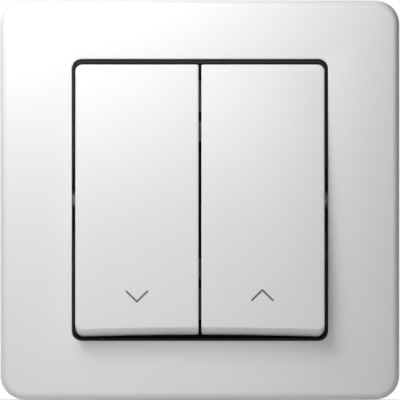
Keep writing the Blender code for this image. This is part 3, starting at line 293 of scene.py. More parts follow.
def hinge_and_tilt(side_name):
    """Hinge of a rocker, and its tilt at rest, where the foot stands out by half the throw."""
    hinge = HINGES[f"rocker_{side_name}_hinge"]
    return hinge, math.radians(sum(hinge["range_deg"])) / 2


def span(middle, width):
    """Both ends of a width about its middle."""
    return middle - width / 2, middle + width / 2


def quarter(steps):
    """Cosine and sine of the steps of a quarter turn."""
    angles = [QUARTER_TURN * step / steps for step in range(steps + 1)]
    return [(math.cos(angle), math.sin(angle)) for angle in angles]


def arc(x, z, radius, start, sweep):
    """Points of an arc about a middle."""
    steps = setting("model").corner_steps
    angles = [start + sweep * step / steps for step in range(steps + 1)]
    return [(x + radius * math.cos(angle), z + radius * math.sin(angle)) for angle in angles]


def outline(x0, x1, z0, z1, radii):
    """Rounded rectangle, anticlockwise from its lower right corner, with one radius or four."""
    if not isinstance(radii, tuple):
        radii = (radii,) * 4
    corners = ((x1, z0, -1, 1), (x1, z1, -1, -1), (x0, z1, 1, -1), (x0, z0, 1, 1))
    points = []
    for turn, ((x, z, sign_x, sign_z), radius) in enumerate(zip(corners, radii)):
        points += arc(x + sign_x * radius, z + sign_z * radius, radius,
                      QUARTER_TURN * (turn - 1), QUARTER_TURN)
    return points


def centred(half_x, half_z, radius):
    """Rounded rectangle about the middle of the switch."""
    return outline(-half_x, half_x, -half_z, half_z, radius)


def piece_from(shape, name, material=None):
    """Object of a finished bmesh, smooth-shaded with its edges kept sharp."""
    bmesh.ops.recalc_face_normals(shape, faces=shape.faces)
    mesh = bpy.data.meshes.new(name)
    shape.to_mesh(mesh)
    shape.free()
    mesh.shade_smooth()
    mesh.set_sharp_from_angle(angle=SMOOTH_ANGLE)
    thing = bpy.data.objects.new(name, mesh)
    bpy.context.scene.collection.objects.link(thing)
    if material:
        mesh.materials.append(material)
    return thing


def loft(name, sections, material=None, closed_ring=False):
    """Solid through like outlines given as (y, points); closed_ring joins the last to the first."""
    shape = bmesh.new()
    rings = [[shape.verts.new((x, y, z)) for x, z in points] for y, points in sections]
    pairs = list(zip(rings, rings[1:]))
    if closed_ring:
        pairs.append((rings[-1], rings[0]))
    else:
        shape.faces.new(rings[0])
        shape.faces.new(rings[-1])
    for ring, following in pairs:
        for index in range(len(ring)):
            after = (index + 1) % len(ring)
            shape.faces.new((ring[index], ring[after], following[after], following[index]))
    return piece_from(shape, name, material)


def boxes(name, limits):
    """Separate boxes in one tool, each given as (x0, x1, y0, y1, z0, z1)."""
    shape = bmesh.new()
    for x0, x1, y0, y1, z0, z1 in limits:
        middle = Matrix.Translation(Vector((x0 + x1, y0 + y1, z0 + z1)) / 2)
        size = Matrix.Diagonal((abs(x1 - x0), abs(y1 - y0), abs(z1 - z0), 1))
        bmesh.ops.create_cube(shape, size=1.0, matrix=middle @ size)
    return piece_from(shape, name)


def rod(name, start, end, radius):
    """Round tool between two points."""
    shape = bmesh.new()
    start, end = Vector(start), Vector(end)
    turn = Vector((0, 0, 1)).rotation_difference(end - start).to_matrix().to_4x4()
    bmesh.ops.create_cone(shape, cap_ends=True, segments=setting("model").round_steps,
                          radius1=radius, radius2=radius, depth=(end - start).length,
                          matrix=Matrix.Translation((start + end) / 2) @ turn)
    return piece_from(shape, name)


def shape_with(piece, operations):
    """Carry out cuts and joins on a piece, given as (operation, tool), and remove the tools."""
    for operation, tool in operations:
        modifier = piece.modifiers.new(tool.name, "BOOLEAN")
        modifier.operation = operation
        modifier.solver = "EXACT"
        modifier.object = tool
    bpy.context.view_layer.update()
    graph = bpy.context.evaluated_depsgraph_get()
    finished = bpy.data.meshes.new_from_object(piece.evaluated_get(graph))
    piece.modifiers.clear()
    old = piece.data
    piece.data = finished
    bpy.data.meshes.remove(old)
    for _, tool in operations:
        mesh = tool.data
        bpy.data.objects.remove(tool, do_unlink=True)
        bpy.data.meshes.remove(mesh)
    finished.shade_smooth()
    finished.set_sharp_from_angle(angle=SMOOTH_ANGLE)
    return piece


def node(tree, kind, place, **values):
    """Shader node with its plain attributes set."""
    made = tree.nodes.new(kind)
    made.location = place
    for key, value in values.items():
        setattr(made, key, value)
    return made


def calculated(tree, operation, place, *values):
    """Result of a maths node fed with sockets or plain numbers."""
    maths = node(tree, "ShaderNodeMath", place, operation=operation)
    for socket, value in zip(maths.inputs, values):
        if isinstance(value, bpy.types.NodeSocket):
            tree.links.new(value, socket)
        else:
            socket.default_value = value
    return maths.outputs[0]


def textured(tree, kind, place, position, scale):
    """Texture node that reads its position and scale from two sockets."""
    texture = node(tree, kind, place)
    tree.links.new(position, texture.inputs["Vector"])
    tree.links.new(scale, texture.inputs["Scale"])
    return texture


def new_group(name, inputs, outputs):
    """Empty shader node group with named sockets, and its input and output nodes."""
    tree = bpy.data.node_groups.new(name, "ShaderNodeTree")
    for socket_name, kind, default in inputs:
        socket = tree.interface.new_socket(socket_name, in_out="INPUT",
                                           socket_type=f"NodeSocket{kind}")
        if default is not None:
            socket.default_value = default
    for socket_name, kind in outputs:
        tree.interface.new_socket(socket_name, in_out="OUTPUT", socket_type=f"NodeSocket{kind}")
    return tree, node(tree, "NodeGroupInput", (-800, 0)), node(tree, "NodeGroupOutput", (600, 0))


def drifting(tree, given, result, tone_noise, rough_noise):
    """Feed a group's colour and roughness to its outputs, each drifting with its own noise."""
    swing = calculated(tree, "SUBTRACT", (-250, 250), tone_noise, NOISE_MIDDLE)
    tone = calculated(tree, "MULTIPLY_ADD", (-50, 250), swing, given.outputs["Tone drift"], 1.0)
    tinted = node(tree, "ShaderNodeVectorMath", (150, 250), operation="SCALE")
    tree.links.new(given.outputs["Colour"], tinted.inputs[0])
    tree.links.new(tone, tinted.inputs["Scale"])
    tree.links.new(tinted.outputs[0], result.inputs["Colour"])
    swing = calculated(tree, "SUBTRACT", (-250, 0), rough_noise, NOISE_MIDDLE)
    rough = calculated(tree, "MULTIPLY_ADD", (-50, 0), swing, given.outputs["Roughness drift"],
                       given.outputs["Roughness"])
    tree.links.new(rough, result.inputs["Roughness"])


def skin_group():
    """Moulded skin: slow tone drift, fine eroded grain and slight waves, for every plastic."""
    if "Moulded skin" in bpy.data.node_groups:
        return bpy.data.node_groups["Moulded skin"]
    tree, given, result = new_group(
        "Moulded skin",
        [("Position", "Vector", None), ("Colour", "Color", (0.8, 0.8, 0.8, 1)),
         ("Tone drift", "Float", 0.02), ("Grain per metre", "Float", 5000.0),
         ("Waves per metre", "Float", 260.0), ("Roughness", "Float", 0.3),
         ("Roughness drift", "Float", 0.05)],
        [("Colour", "Color"), ("Roughness", "Float"), ("Grain", "Float"), ("Waves", "Float")])
    position = given.outputs["Position"]
    grain = textured(tree, "ShaderNodeTexNoise", (-500, -200), position,
                     given.outputs["Grain per metre"])
    grain.inputs["Detail"].default_value = 3.0
    waves = textured(tree, "ShaderNodeTexNoise", (-500, 100), position,
                     given.outputs["Waves per metre"])
    waves.inputs["Detail"].default_value = 2.0
    drifting(tree, given, result, waves.outputs["Fac"], waves.outputs["Fac"])
    tree.links.new(grain.outputs["Fac"], result.inputs["Grain"])
    tree.links.new(waves.outputs["Fac"], result.inputs["Waves"])
    return tree


def metal_group():
    """Rolled and plated metal: long rolling lines and cloudy plating."""
    if "Rolled metal" in bpy.data.node_groups:
        return bpy.data.node_groups["Rolled metal"]
    tree, given, result = new_group(
        "Rolled metal",
        [("Position", "Vector", None), ("Colour", "Color", (0.6, 0.6, 0.6, 1)),
         ("Tone drift", "Float", 0.25), ("Clouds per metre", "Float", 350.0),
         ("Lines per metre", "Float", 4000.0), ("Line stretch", "Vector", (0.03, 1.0, 1.0)),
         ("Roughness", "Float", 0.35), ("Roughness drift", "Float", 0.25)],
        [("Colour", "Color"), ("Roughness", "Float"), ("Lines", "Float")])
    position = given.outputs["Position"]
    cloud = textured(tree, "ShaderNodeTexVoronoi", (-500, 100), position,
                     given.outputs["Clouds per metre"])
    cloud_tone = node(tree, "ShaderNodeSeparateColor", (-400, 250))
    tree.links.new(cloud.outputs["Color"], cloud_tone.inputs[0])
    stretched = node(tree, "ShaderNodeVectorMath", (-700, -200), operation="MULTIPLY")
    tree.links.new(position, stretched.inputs[0])
    tree.links.new(given.outputs["Line stretch"], stretched.inputs[1])
    lines = textured(tree, "ShaderNodeTexNoise", (-500, -200), stretched.outputs[0],
                     given.outputs["Lines per metre"])
    drifting(tree, given, result, cloud_tone.outputs["Red"], lines.outputs["Fac"])
    tree.links.new(lines.outputs["Fac"], result.inputs["Lines"])
    return tree


def shader_base(name):
    """New material with its shader, its output and the position that textures read."""
    material = bpy.data.materials.new(name)
    material.use_nodes = True
    tree = material.node_tree
    tree.nodes.clear()
    output = node(tree, "ShaderNodeOutputMaterial", (700, 0))
    shader = node(tree, "ShaderNodeBsdfPrincipled", (400, 0))
    place = node(tree, "ShaderNodeTexCoord", (-600, 0))
    tree.links.new(shader.outputs[0], output.inputs["Surface"])
    return material, tree, shader, place


def bump(tree, shader, layers):
    """Bump nodes in a row, one for each (height socket, distance), fed to the shader's normal."""
    normal = None
    for index, (height, distance) in enumerate(layers):
        layer = node(tree, "ShaderNodeBump", (100 + 150 * index, -300))
        layer.inputs["Distance"].default_value = distance
        tree.links.new(height, layer.inputs["Height"])
        if normal:
            tree.links.new(normal, layer.inputs["Normal"])
        normal = layer.outputs["Normal"]
    tree.links.new(normal, shader.inputs["Normal"])


def surface(name, group, given, plain, bumps):
    """Material with a finish group; its values, plain shader values and bumps are given by name."""
    if name in bpy.data.materials:
        return bpy.data.materials[name]
    material, tree, shader, place = shader_base(name)
    finish = node(tree, "ShaderNodeGroup", (-250, 0), node_tree=group)
    tree.links.new(place.outputs["Object"], finish.inputs["Position"])
    for owner, values in ((finish, given), (shader, plain)):
        for socket, value in values.items():
            owner.inputs[socket].default_value = value
    tree.links.new(finish.outputs["Colour"], shader.inputs["Base Color"])
    tree.links.new(finish.outputs["Roughness"], shader.inputs["Roughness"])
    bump(tree, shader, [(finish.outputs[height], distance) for height, distance in bumps])
    return material


def plastic(name, tint, roughness, drift, grain, grain_depth, waves, wave_depth, sheen=0.5):
    """Moulded plastic; grain and waves are counted a metre, sheen is the specular level."""
    given = {"Colour": (*tint, 1), "Tone drift": drift, "Grain per metre": grain,
             "Waves per metre": waves, "Roughness": roughness, "Roughness drift": drift * 2}
    plain = {"IOR": 1.5, "Specular IOR Level": sheen}
    bumps = [("Waves", wave_depth), ("Grain", grain_depth)]
    return surface(name, skin_group(), given, plain, bumps)


def metal(name, tint, roughness, drift, clouds, lines, line_depth):
    """Rolled, plated or drawn metal; clouds and lines are counted a metre."""
    given = {"Colour": (*tint, 1), "Tone drift": drift, "Clouds per metre": clouds,
             "Lines per metre": lines, "Roughness": roughness}
    return surface(name, metal_group(), given, {"Metallic": 1.0}, [("Lines", line_depth)])


def white_moulding():
    """Glossy white of the cover frame and the rockers."""
    finish = setting("finish")
    return plastic("white_moulding", finish.white, finish.white_gloss, drift=0.006,
                   grain=6000, grain_depth=0.0000005, waves=90, wave_depth=0.000003)


def dark_moulding():
    """Satin anthracite of the bezel."""
    return plastic("dark_moulding", setting("finish").dark, roughness=0.34, drift=0.10,
                   grain=4500, grain_depth=0.000003, waves=500, wave_depth=0.000004, sheen=0.15)


def grey_moulding():
    """Matt grey of the levers."""
    return plastic("grey_moulding", setting("finish").grey, roughness=0.5, drift=0.08,
                   grain=4000, grain_depth=0.000004, waves=400, wave_depth=0.000008)


def black_moulding():
    """Matt black of the base, its cover and the plungers."""
    return plastic("black_moulding", setting("finish").black, roughness=0.5, drift=0.12,
                   grain=3500, grain_depth=0.000006, waves=350, wave_depth=0.00001, sheen=0.2)


def sign_ink():
    """Grey ink of the signs, slightly uneven."""
    return plastic("sign_ink", setting("finish").sign, roughness=0.55, drift=0.15,
                   grain=9000, grain_depth=0.000002, waves=1500, wave_depth=0.000002)


def dark_steel():
    """Dark steel of the plate and the cover's screws: a passivated finish, darkened further as
    painted shade for where they show through the split.
    """
    return metal("dark_steel", setting("finish").steel, roughness=0.4, drift=0.15,
                 clouds=420, lines=5000, line_depth=0.000004)


def zinc_steel():
    """Zinc-plated steel of the clamp screws."""
    return metal("zinc_steel", setting("finish").zinc, roughness=0.36, drift=0.22,
                 clouds=420, lines=5000, line_depth=0.000004)


def stamped_brass():
    """Brass of contacts, straps and terminal boxes."""
    return metal("stamped_brass", setting("finish").brass, roughness=0.3, drift=0.12,
                 clouds=500, lines=6000, line_depth=0.000003)


def spring_wire():
    """Drawn wire of the springs."""
    return metal("spring_wire", setting("finish").wire, roughness=0.26, drift=0.10,
                 clouds=900, lines=9000, line_depth=0.000002)


def frame_profile():
    """Cross-section of the cover frame, once round: (y, half width, half height, corner)."""
    sizes = setting("frame")
    steps = setting("model").edge_steps
    half, front = sizes.side / 2, -sizes.depth
    open_x, open_z = half_opening()
    rings = [(0.0, half, half, sizes.corner)]
    for across, along in quarter(steps):
        inset = sizes.edge * (1 - across)
        rings.append((front + sizes.edge * (1 - along), half - inset, half - inset,
                      sizes.corner - inset))
    for across, along in reversed(quarter(steps)):
        flare = sizes.opening_edge * (1 - across)
        rings.append((front + sizes.opening_edge * (1 - along), open_x + flare, open_z + flare,
                      sizes.opening_corner + flare))
    inner_corner = sizes.opening_corner
    outer_corner = inner_corner + sizes.collar_wall
    hollow_corner = sizes.corner - sizes.wall
    collar_x, collar_z = open_x + sizes.collar_gap, open_z + sizes.collar_gap
    outer_x, outer_z = collar_x + sizes.collar_wall, collar_z + sizes.collar_wall
    web = front + sizes.wall
    end = web + sizes.collar_depth
    hollow = half - sizes.wall
    return rings + [(web, open_x, open_z, inner_corner), (web, collar_x, collar_z, inner_corner),
                    (end, collar_x, collar_z, inner_corner), (end, outer_x, outer_z, outer_corner),
                    (web, outer_x, outer_z, outer_corner), (web, hollow, hollow, hollow_corner),
                    (0.0, hollow, hollow, hollow_corner)]


def snaps(operation, gap):
    """Upright rods on the collar's inner face: the frame's snap beads, or the bezel's grooves."""
    sizes = setting("frame")
    x = sizes.opening_width / 2 + sizes.collar_gap
    y = -sizes.depth + sizes.wall + sizes.collar_depth - sizes.snap_back
    rods = []
    for side in (-1, 1):
        for place in (-sizes.snap_place, sizes.snap_place):
            low, high = span(place, sizes.snap_width + gap * 2)
            rods.append((operation, rod("snap", (side * x, y, low), (side * x, y, high),
                                        sizes.snap_bead + gap)))
    return rods


class SWITCH_OT_cover_frame(bpy.types.Operator):
    """Build the white cover frame with its hollow back"""

    bl_idname = "switch.cover_frame"
    bl_label = "Cover frame"

    def execute(self, context):
        """Sweep the frame's cross-section round the square and join its ribs and snap beads."""
        sections = [(y, centred(half_x, half_z, radius))
                    for y, half_x, half_z, radius in frame_profile()]
        shell = loft("cover_frame_shell", sections, white_moulding(), closed_ring=True)
        shape_with(shell, [("UNION", self.ribs(setting("frame"))), *snaps("UNION", 0.0)])
        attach(shell, "switch")
        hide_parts("cover_frame")
        return {"FINISHED"}

    def ribs(self, sizes):
        """Two ribs on each side, from the collar to the side wall."""
        root = -sizes.depth + sizes.wall / 2
        end = -sizes.depth + sizes.wall + sizes.rib_depth
        near_x, near_z = (half + sizes.collar_gap + sizes.collar_wall / 2
                          for half in half_opening())
        far = (sizes.side - sizes.wall) / 2
        limits = []
        for place in (-sizes.rib_place, sizes.rib_place):
            low, high = span(place, sizes.rib)
            for side in (-1, 1):
                limits.append((side * near_x, side * far, root, end, low, high))
                limits.append((low, high, root, end, side * near_z, side * far))
        return boxes("ribs", limits)


def rocker_outline(sizes, foot, foot_corner, inset):
    """Front view of the right rocker, with points along its foot for the bow."""
    x0, x1 = sizes.inner + inset, sizes.outer - inset
    radii = (foot_corner, sizes.top_corner, sizes.inner_corner, sizes.inner_corner)
    corners = outline(x0, x1, -foot, sizes.top - inset, radii)
    start, end = x0 + sizes.inner_corner, x1 - foot_corner
    pieces = setting("model").corner_steps * 2
    return corners + [(start + (end - start) * step / pieces, -foot) for step in range(1, pieces)]


def bowed(points, side, sizes, chin):
    """Outline with the shallow bow of the foot, carried over to its side of the switch."""
    bent = [(x, z - max(0.0, -z / chin) * x * x / (2 * sizes.bow)) for x, z in points]
    if side > 0:
        return bent
    return [(-x, z) for x, z in reversed(bent)]


def rounding(radius, depth):
    """Inset of a rounded edge at a depth below the face."""
    if depth >= radius:
        return 0.0
    return radius - math.sqrt(radius ** 2 - (radius - depth) ** 2)


def rocker_sections(sizes, side, inset=0.0):
    """Sections of the cap, or of its hollow at an inset, from the face to the sole.

    The chin is an arc about the pivot, and only the cap's own face has rounded edges.
    """
    steps = setting("model").edge_steps
    chin = math.hypot(sizes.face, sizes.foot)
    sole_z = math.sqrt(chin ** 2 - sizes.sole ** 2)
    reach = sizes.face - sizes.sole
    depths = [inset]
    if not inset:
        depths = [sizes.edge * (1 - along) for _, along in reversed(quarter(steps))]
    start = depths[-1]
    depths += [start + (reach - start) * step / steps for step in range(1, steps + 1)]
    sections = []
    for depth in depths:
        below = sizes.face - depth
        foot = math.sqrt(chin ** 2 - below ** 2) - inset - sizes.lift * (1 - depth / reach)
        corner = sizes.foot_corner + (sizes.sole_corner - sizes.foot_corner) * depth / reach
        shrink = inset
        if not inset:
            foot -= rounding(sizes.foot_edge, depth)
            shrink = rounding(sizes.edge, depth)
        front_view = rocker_outline(sizes, foot, corner, shrink)
        sections.append((-below, bowed(front_view, side, sizes, sole_z)))
    return sections


def tilted(piece, side_name):
    """Put a piece made about its pivot axis in the rocker's place at rest."""
    hinge, tilt = hinge_and_tilt(side_name)
    pivot = Matrix.Translation((0, hinge["pos_m"][1], hinge["pos_m"][2]))
    piece.data.transform(pivot @ Matrix.Rotation(-tilt, 4, "X"))
    return piece


class SWITCH_OT_rockers(bpy.types.Operator):
    """Build the two white rocker caps"""

    bl_idname = "switch.rockers"
    bl_label = "Rockers"

    def execute(self, context):
        """Build each cap about its pivot axis and put it in its place."""
        sizes = setting("rocker")
        for side_name, side in SIDES.items():
            cap = self.cap(side_name, side, sizes)
            tilted(cap, side_name)
            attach(cap, f"rocker_{side_name}_body")
            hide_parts(f"rocker_{side_name}")
        return {"FINISHED"}

    def cap(self, side_name, side, sizes):
        """Loft a cap, hollow it and join its ear, pin, ribs, clips and pads."""
        sections = rocker_sections(sizes, side)
        sections.append((-sizes.rim, sections[-1][1]))
        cap = loft(f"rocker_cap_{side_name}", sections, white_moulding())
        hollow = rocker_sections(sizes, side, inset=sizes.wall)
        hollow.append((sizes.wall - sizes.rim, hollow[-1][1]))
        middle = side * (sizes.inner + sizes.outer) / 2
        width = span(middle, sizes.clip_width)
        return shape_with(cap, [("DIFFERENCE", loft("hollow", hollow)), *self.pivot(side, sizes),
                                self.ribs(side, sizes), *self.clips(width, sizes),
                                self.pads(width, sizes)])

    def pivot(self, side, sizes):
        """Ear at the outer side, and the pin that lies in the bezel's slot."""
        outer = side * (sizes.outer - sizes.step)
        inside, root = outer - side * sizes.wall, outer - side * sizes.wall / 2
        end = side * (sizes.outer + sizes.pin_length)
        neck = (inside, outer, -sizes.face / 2, 0, -sizes.ear, sizes.ear)
        return [("UNION", boxes("ear_neck", [neck])),
                ("UNION", rod("ear", (inside, 0, 0), (outer, 0, 0), sizes.ear)),
                ("UNION", rod("pin", (root, 0, 0), (end, 0, 0), sizes.pin))]

    def ribs(self, side, sizes):
        """Four ribs across the inside of the face."""
        low, high = side * (sizes.inner + sizes.wall / 2), side * (sizes.outer - sizes.wall / 2)
        root, end = sizes.wall / 2 - sizes.face, sizes.wall + sizes.rib_depth - sizes.face
        places = (-sizes.far_rib, -sizes.near_rib, sizes.near_rib, sizes.far_rib)
        return "UNION", boxes("ribs", [(low, high, root, end, *span(z, sizes.rib)) for z in places])

    def clips(self, width, sizes):
        """Two legs with noses under the lever's plate."""
        root, under = sizes.wall / 2 - sizes.face, sizes.seat - sizes.lever_rear
        end = under + sizes.clip_nose_depth
        joined = []
        for sign in (-1, 1):
            near = sign * (sizes.lever_height / 2 + sizes.seat)
            far, tip = near + sign * sizes.clip_wall, near - sign * sizes.clip_nose
            nose_root = near + sign * sizes.clip_wall / 2
            joined += [("UNION", boxes("leg", [(*width, root, end, near, far)])),
                       ("UNION", boxes("nose", [(*width, under, end, tip, nose_root)]))]
        return joined

    def pads(self, width, sizes):
        """Two pads that rest on the lever's plate."""
        root, end = sizes.wall / 2 - sizes.face, -sizes.lever_rear - sizes.lever_plate - sizes.seat
        places = (-sizes.lever_height / 3, sizes.lever_height / 3)
        return "UNION", boxes("pads", [(*width, root, end, *span(z, sizes.rib)) for z in places])


def sign_outline(sizes):
    """Outline of an upward chevron with round ends, clockwise from its tip."""
    half_line = sizes.line / 2
    reach, rise = sizes.width / 2 - half_line, sizes.height / 2 - half_line
    slope = Vector((reach, 2 * rise)).normalized()
    start = math.atan2(slope.x, -slope.y)
    return [*arc(0.0, rise, half_line, start, math.pi - 2 * start),
            *arc(reach, -rise, half_line, math.pi - start, -math.pi),
            (0.0, rise - half_line / slope.x),
            *arc(-reach, -rise, half_line, start + math.pi, -math.pi)]


class SWITCH_OT_signs(bpy.types.Operator):
    """Print the down and up signs on the rockers"""

    bl_idname = "switch.signs"
    bl_label = "Signs"

    def execute(self, context):
        """Lay a thin chevron on each rocker's face."""
        sizes, rocker = setting("sign"), setting("rocker")
        for side_name, side in SIDES.items():
            middle = side * (rocker.inner + rocker.outer) / 2 - max(side, 0) * sizes.aside
            level = side * sizes.stagger - sizes.place
            points = [(middle + x, level + side * z) for x, z in sign_outline(sizes)]
            if side < 0:
                points.reverse()
            sections = [(y, points) for y in span(-rocker.face, sizes.ink * 2)]
            sign = loft(f"sign_{side_name}", sections, sign_ink())
            tilted(sign, side_name)
            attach(sign, f"rocker_{side_name}_body")
        return {"FINISHED"}


def ledge_depth():
    """Depth of the bezel's ledge: just behind the soles of the rockers at rest."""
    sizes = setting("rocker")
    hinge, tilt = hinge_and_tilt("up")
    sole_z = math.sqrt(sizes.face ** 2 + sizes.foot ** 2 - sizes.sole ** 2)
    sole = sole_z * math.sin(tilt) - sizes.rim * math.cos(tilt)
    return hinge["pos_m"][1] + sole + sizes.seat


class SWITCH_OT_trim_ring(bpy.types.Operator):
    """Build the dark bezel in the frame's opening"""

    bl_idname = "switch.trim_ring"
    bl_label = "Bezel"

    def execute(self, context):
        """Join lip and wall, then cut the hollows and side openings, and join the hooks."""
        sizes, around = setting("ring"), setting("frame")
        wall = centred(*(half + sizes.wall for half in half_opening()), around.opening_corner)
        web = around.wall - around.depth
        ring = loft("bezel", [(web + sizes.seat, wall), (-sizes.rear, wall)], dark_moulding())
        shape_with(ring, [("UNION", self.lip(sizes, around)), *self.hollows(sizes, around),
                          *self.side_openings(sizes, around), *self.hooks(sizes),
                          *snaps("DIFFERENCE", sizes.seat)])
        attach(ring, "switch")
        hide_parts("trim_ring")
        return {"FINISHED"}

    def lip(self, sizes, around):
        """Lip that shows in the opening, most rounded at the head."""
        front, corner = sizes.recess - around.depth, around.opening_corner
        half_x, half_z = (half - sizes.gap for half in half_opening())
        sections = []
        for _, along in reversed(quarter(setting("model").edge_steps)):
            depth = sizes.top_edge * (1 - along)
            side, head = rounding(sizes.lip_edge, depth), rounding(sizes.top_edge, depth)
            sections.append((front + depth, outline(side - half_x, half_x - side, side - half_z,
                                                    half_z - head, corner)))
        sections.append((front + around.wall + sizes.wall, centred(half_x, half_z, corner)))
        return loft("lip", sections)

    def hollows(self, sizes, around):
        """Well for the rockers, relief below their feet, window in the ledge and hollow rear."""
        corner, ledge = around.opening_corner, ledge_depth()
        front, web = sizes.recess - around.depth, around.wall - around.depth
        open_x, open_z = half_opening()
        inner_x, inner_foot = open_x - sizes.gap - sizes.lip, open_z - sizes.gap - sizes.lip
        well = outline(-inner_x, inner_x, -inner_foot, open_z - sizes.gap - sizes.top_lip,
                       corner - sizes.lip)
        relief = (-inner_x, inner_x, web + sizes.seat, ledge,
                  *span(-inner_foot, sizes.relief * 2))
        window = centred(open_x - sizes.side_ledge, open_z - sizes.ledge_reach, corner)
        rear = sizes.wall - sizes.foot
        under = centred(open_x + rear, open_z + rear, corner)
        past = sizes.overcut
        return [("DIFFERENCE", loft("well", [(front - past, well), (ledge, well)])),
                ("DIFFERENCE", boxes("relief", [relief])),
                ("DIFFERENCE", loft("window", [(ledge - past, window), (past, window)])),
                ("DIFFERENCE", loft("under", [(ledge + sizes.ledge, under), (past, under)]))]

    def side_openings(self, sizes, around):
        """Visible notches, pockets for the rocker ears and slots for their pins."""
        past, front, ledge = sizes.overcut, sizes.recess - around.depth, ledge_depth()
        open_x = around.opening_width / 2
        inner_x = open_x - sizes.gap - sizes.lip
        notch = span(0.0, sizes.notch_height)
        pocket = span(0.0, sizes.ear_pocket)
        slot = span(0.0, sizes.pin_slot)
        notch_rear = front + sizes.notch_depth
        cuts = []
        for side in (-1, 1):
            inside = side * (open_x - sizes.side_ledge - past)
            notch_end, pocket_end = side * (inner_x + sizes.lip * 2), side * (inner_x + sizes.step)
            slot_start, slot_end = side * (inner_x - past), side * (open_x + sizes.wall + past)
            cuts += [("notch", (inside, notch_end, front - past, notch_rear, *notch)),
                     ("pocket", (inside, pocket_end, ledge - past, past, *pocket)),
                     ("slot", (slot_start, slot_end, notch_rear - sizes.seat, past, *slot))]
        return [("DIFFERENCE", boxes(name, [limits])) for name, limits in cuts]

    def hooks(self, sizes):
        """Four hooks that pass the steel plate, with noses behind it."""
        near = half_opening()[1] - sizes.ledge_reach + sizes.step
        far, root = near + sizes.hook_wall, ledge_depth() + sizes.ledge / 2
        nose_root, tip = near + sizes.hook_wall / 2, far + sizes.hook_nose
        end = sizes.hook_reach
        joined = []
        for x in (-sizes.hook_place, sizes.hook_place):
            width = span(x, sizes.hook_width)
            for sign in (-1, 1):
                leg = (*width, root, end, sign * near, sign * far)
                nose = (*width, sizes.seat, end, sign * nose_root, sign * tip)
                joined += [("UNION", boxes("hook", [leg])), ("UNION", boxes("nose", [nose]))]
        return joined


def finish_nodes(material, names):
    """Give CAD nodes a material."""
    for name in names:
        mesh = frame["nodes"][name].data
        mesh.materials.clear()
        mesh.materials.append(material)


class SWITCH_OT_mechanism(bpy.types.Operator):
    """Finish the plate, the mouldings and the metal of the mechanism"""

    bl_idname = "switch.mechanism"
    bl_label = "Mechanism"

    def execute(self, context):
        """Give each node of the mechanism its own finish."""
        # The plate and the cover's screws are darkened as painted shade where they show through the
        # split between the rockers.
        finish_nodes(dark_steel(), ["support_ring", "cover_screw_top", "cover_screw_bottom"])
        finish_nodes(zinc_steel(), ["clamp_screw_feed", "clamp_screw_up", "clamp_screw_down"])
        finish_nodes(grey_moulding(), ["lever_down", "lever_up"])
        finish_nodes(black_moulding(), ["mechanism_base", "mechanism_cover", "plunger_down",
                                        "plunger_up"])
        finish_nodes(stamped_brass(), ["contact_arm_down", "contact_arm_up", "feed_strap",
                                       "link_strap", "strap_up", "strap_down", "clamp_feed",
                                       "clamp_up", "clamp_down"])
        finish_nodes(spring_wire(), ["snap_spring_down", "snap_spring_up"])
        return {"FINISHED"}


def directly_seen(tree):
    """Light path, and one for rays that show a background: camera, glossy and transmission."""
    path = node(tree, "ShaderNodeLightPath", (0, 500))
    mirrored = calculated(tree, "MAXIMUM", (200, 500), path.outputs["Is Camera Ray"],
                          path.outputs["Is Glossy Ray"])
    return path, calculated(tree, "MAXIMUM", (400, 500), mirrored,
                            path.outputs["Is Transmission Ray"])


def mixed(tree, factor, lit, white):
    """Feed the output with a shader that lights, or with a white one where the factor is one."""
    choice = node(tree, "ShaderNodeMixShader", (600, 200))
    for socket, value in zip(choice.inputs, (factor, lit, white)):
        tree.links.new(value, socket)
    tree.links.new(choice.outputs[0], tree.get_output_node("ALL").inputs["Surface"])


def floor_material(settings):
    """Pale floor with a faint unevenness; seen directly it is white, with a soft shadow."""
    material, tree, shader, place = shader_base("pale_floor")
    tint, darkest = settings.floor, 1 - settings.floor_drift
    noise = node(tree, "ShaderNodeTexNoise", (-400, 0))
    noise.inputs["Scale"].default_value = 60.0
    tree.links.new(place.outputs["Object"], noise.inputs["Vector"])
    blend = node(tree, "ShaderNodeMix", (-100, 0), data_type="RGBA")
    blend.inputs["A"].default_value = (*[value * darkest for value in tint], 1)
    blend.inputs["B"].default_value = (*tint, 1)
    tree.links.new(noise.outputs["Fac"], blend.inputs["Factor"])
    tree.links.new(blend.outputs["Result"], shader.inputs["Base Color"])
    shader.inputs["Roughness"].default_value = 0.7
    shadow = node(tree, "ShaderNodeAmbientOcclusion", (200, 250), samples=16)
    shadow.inputs["Distance"].default_value = settings.shadow_reach
    white = node(tree, "ShaderNodeEmission", (400, 250))
    tree.links.new(shadow.outputs["Color"], white.inputs["Color"])
    _, direct = directly_seen(tree)
    mixed(tree, direct, shader.outputs[0], white.outputs[0])
    return material


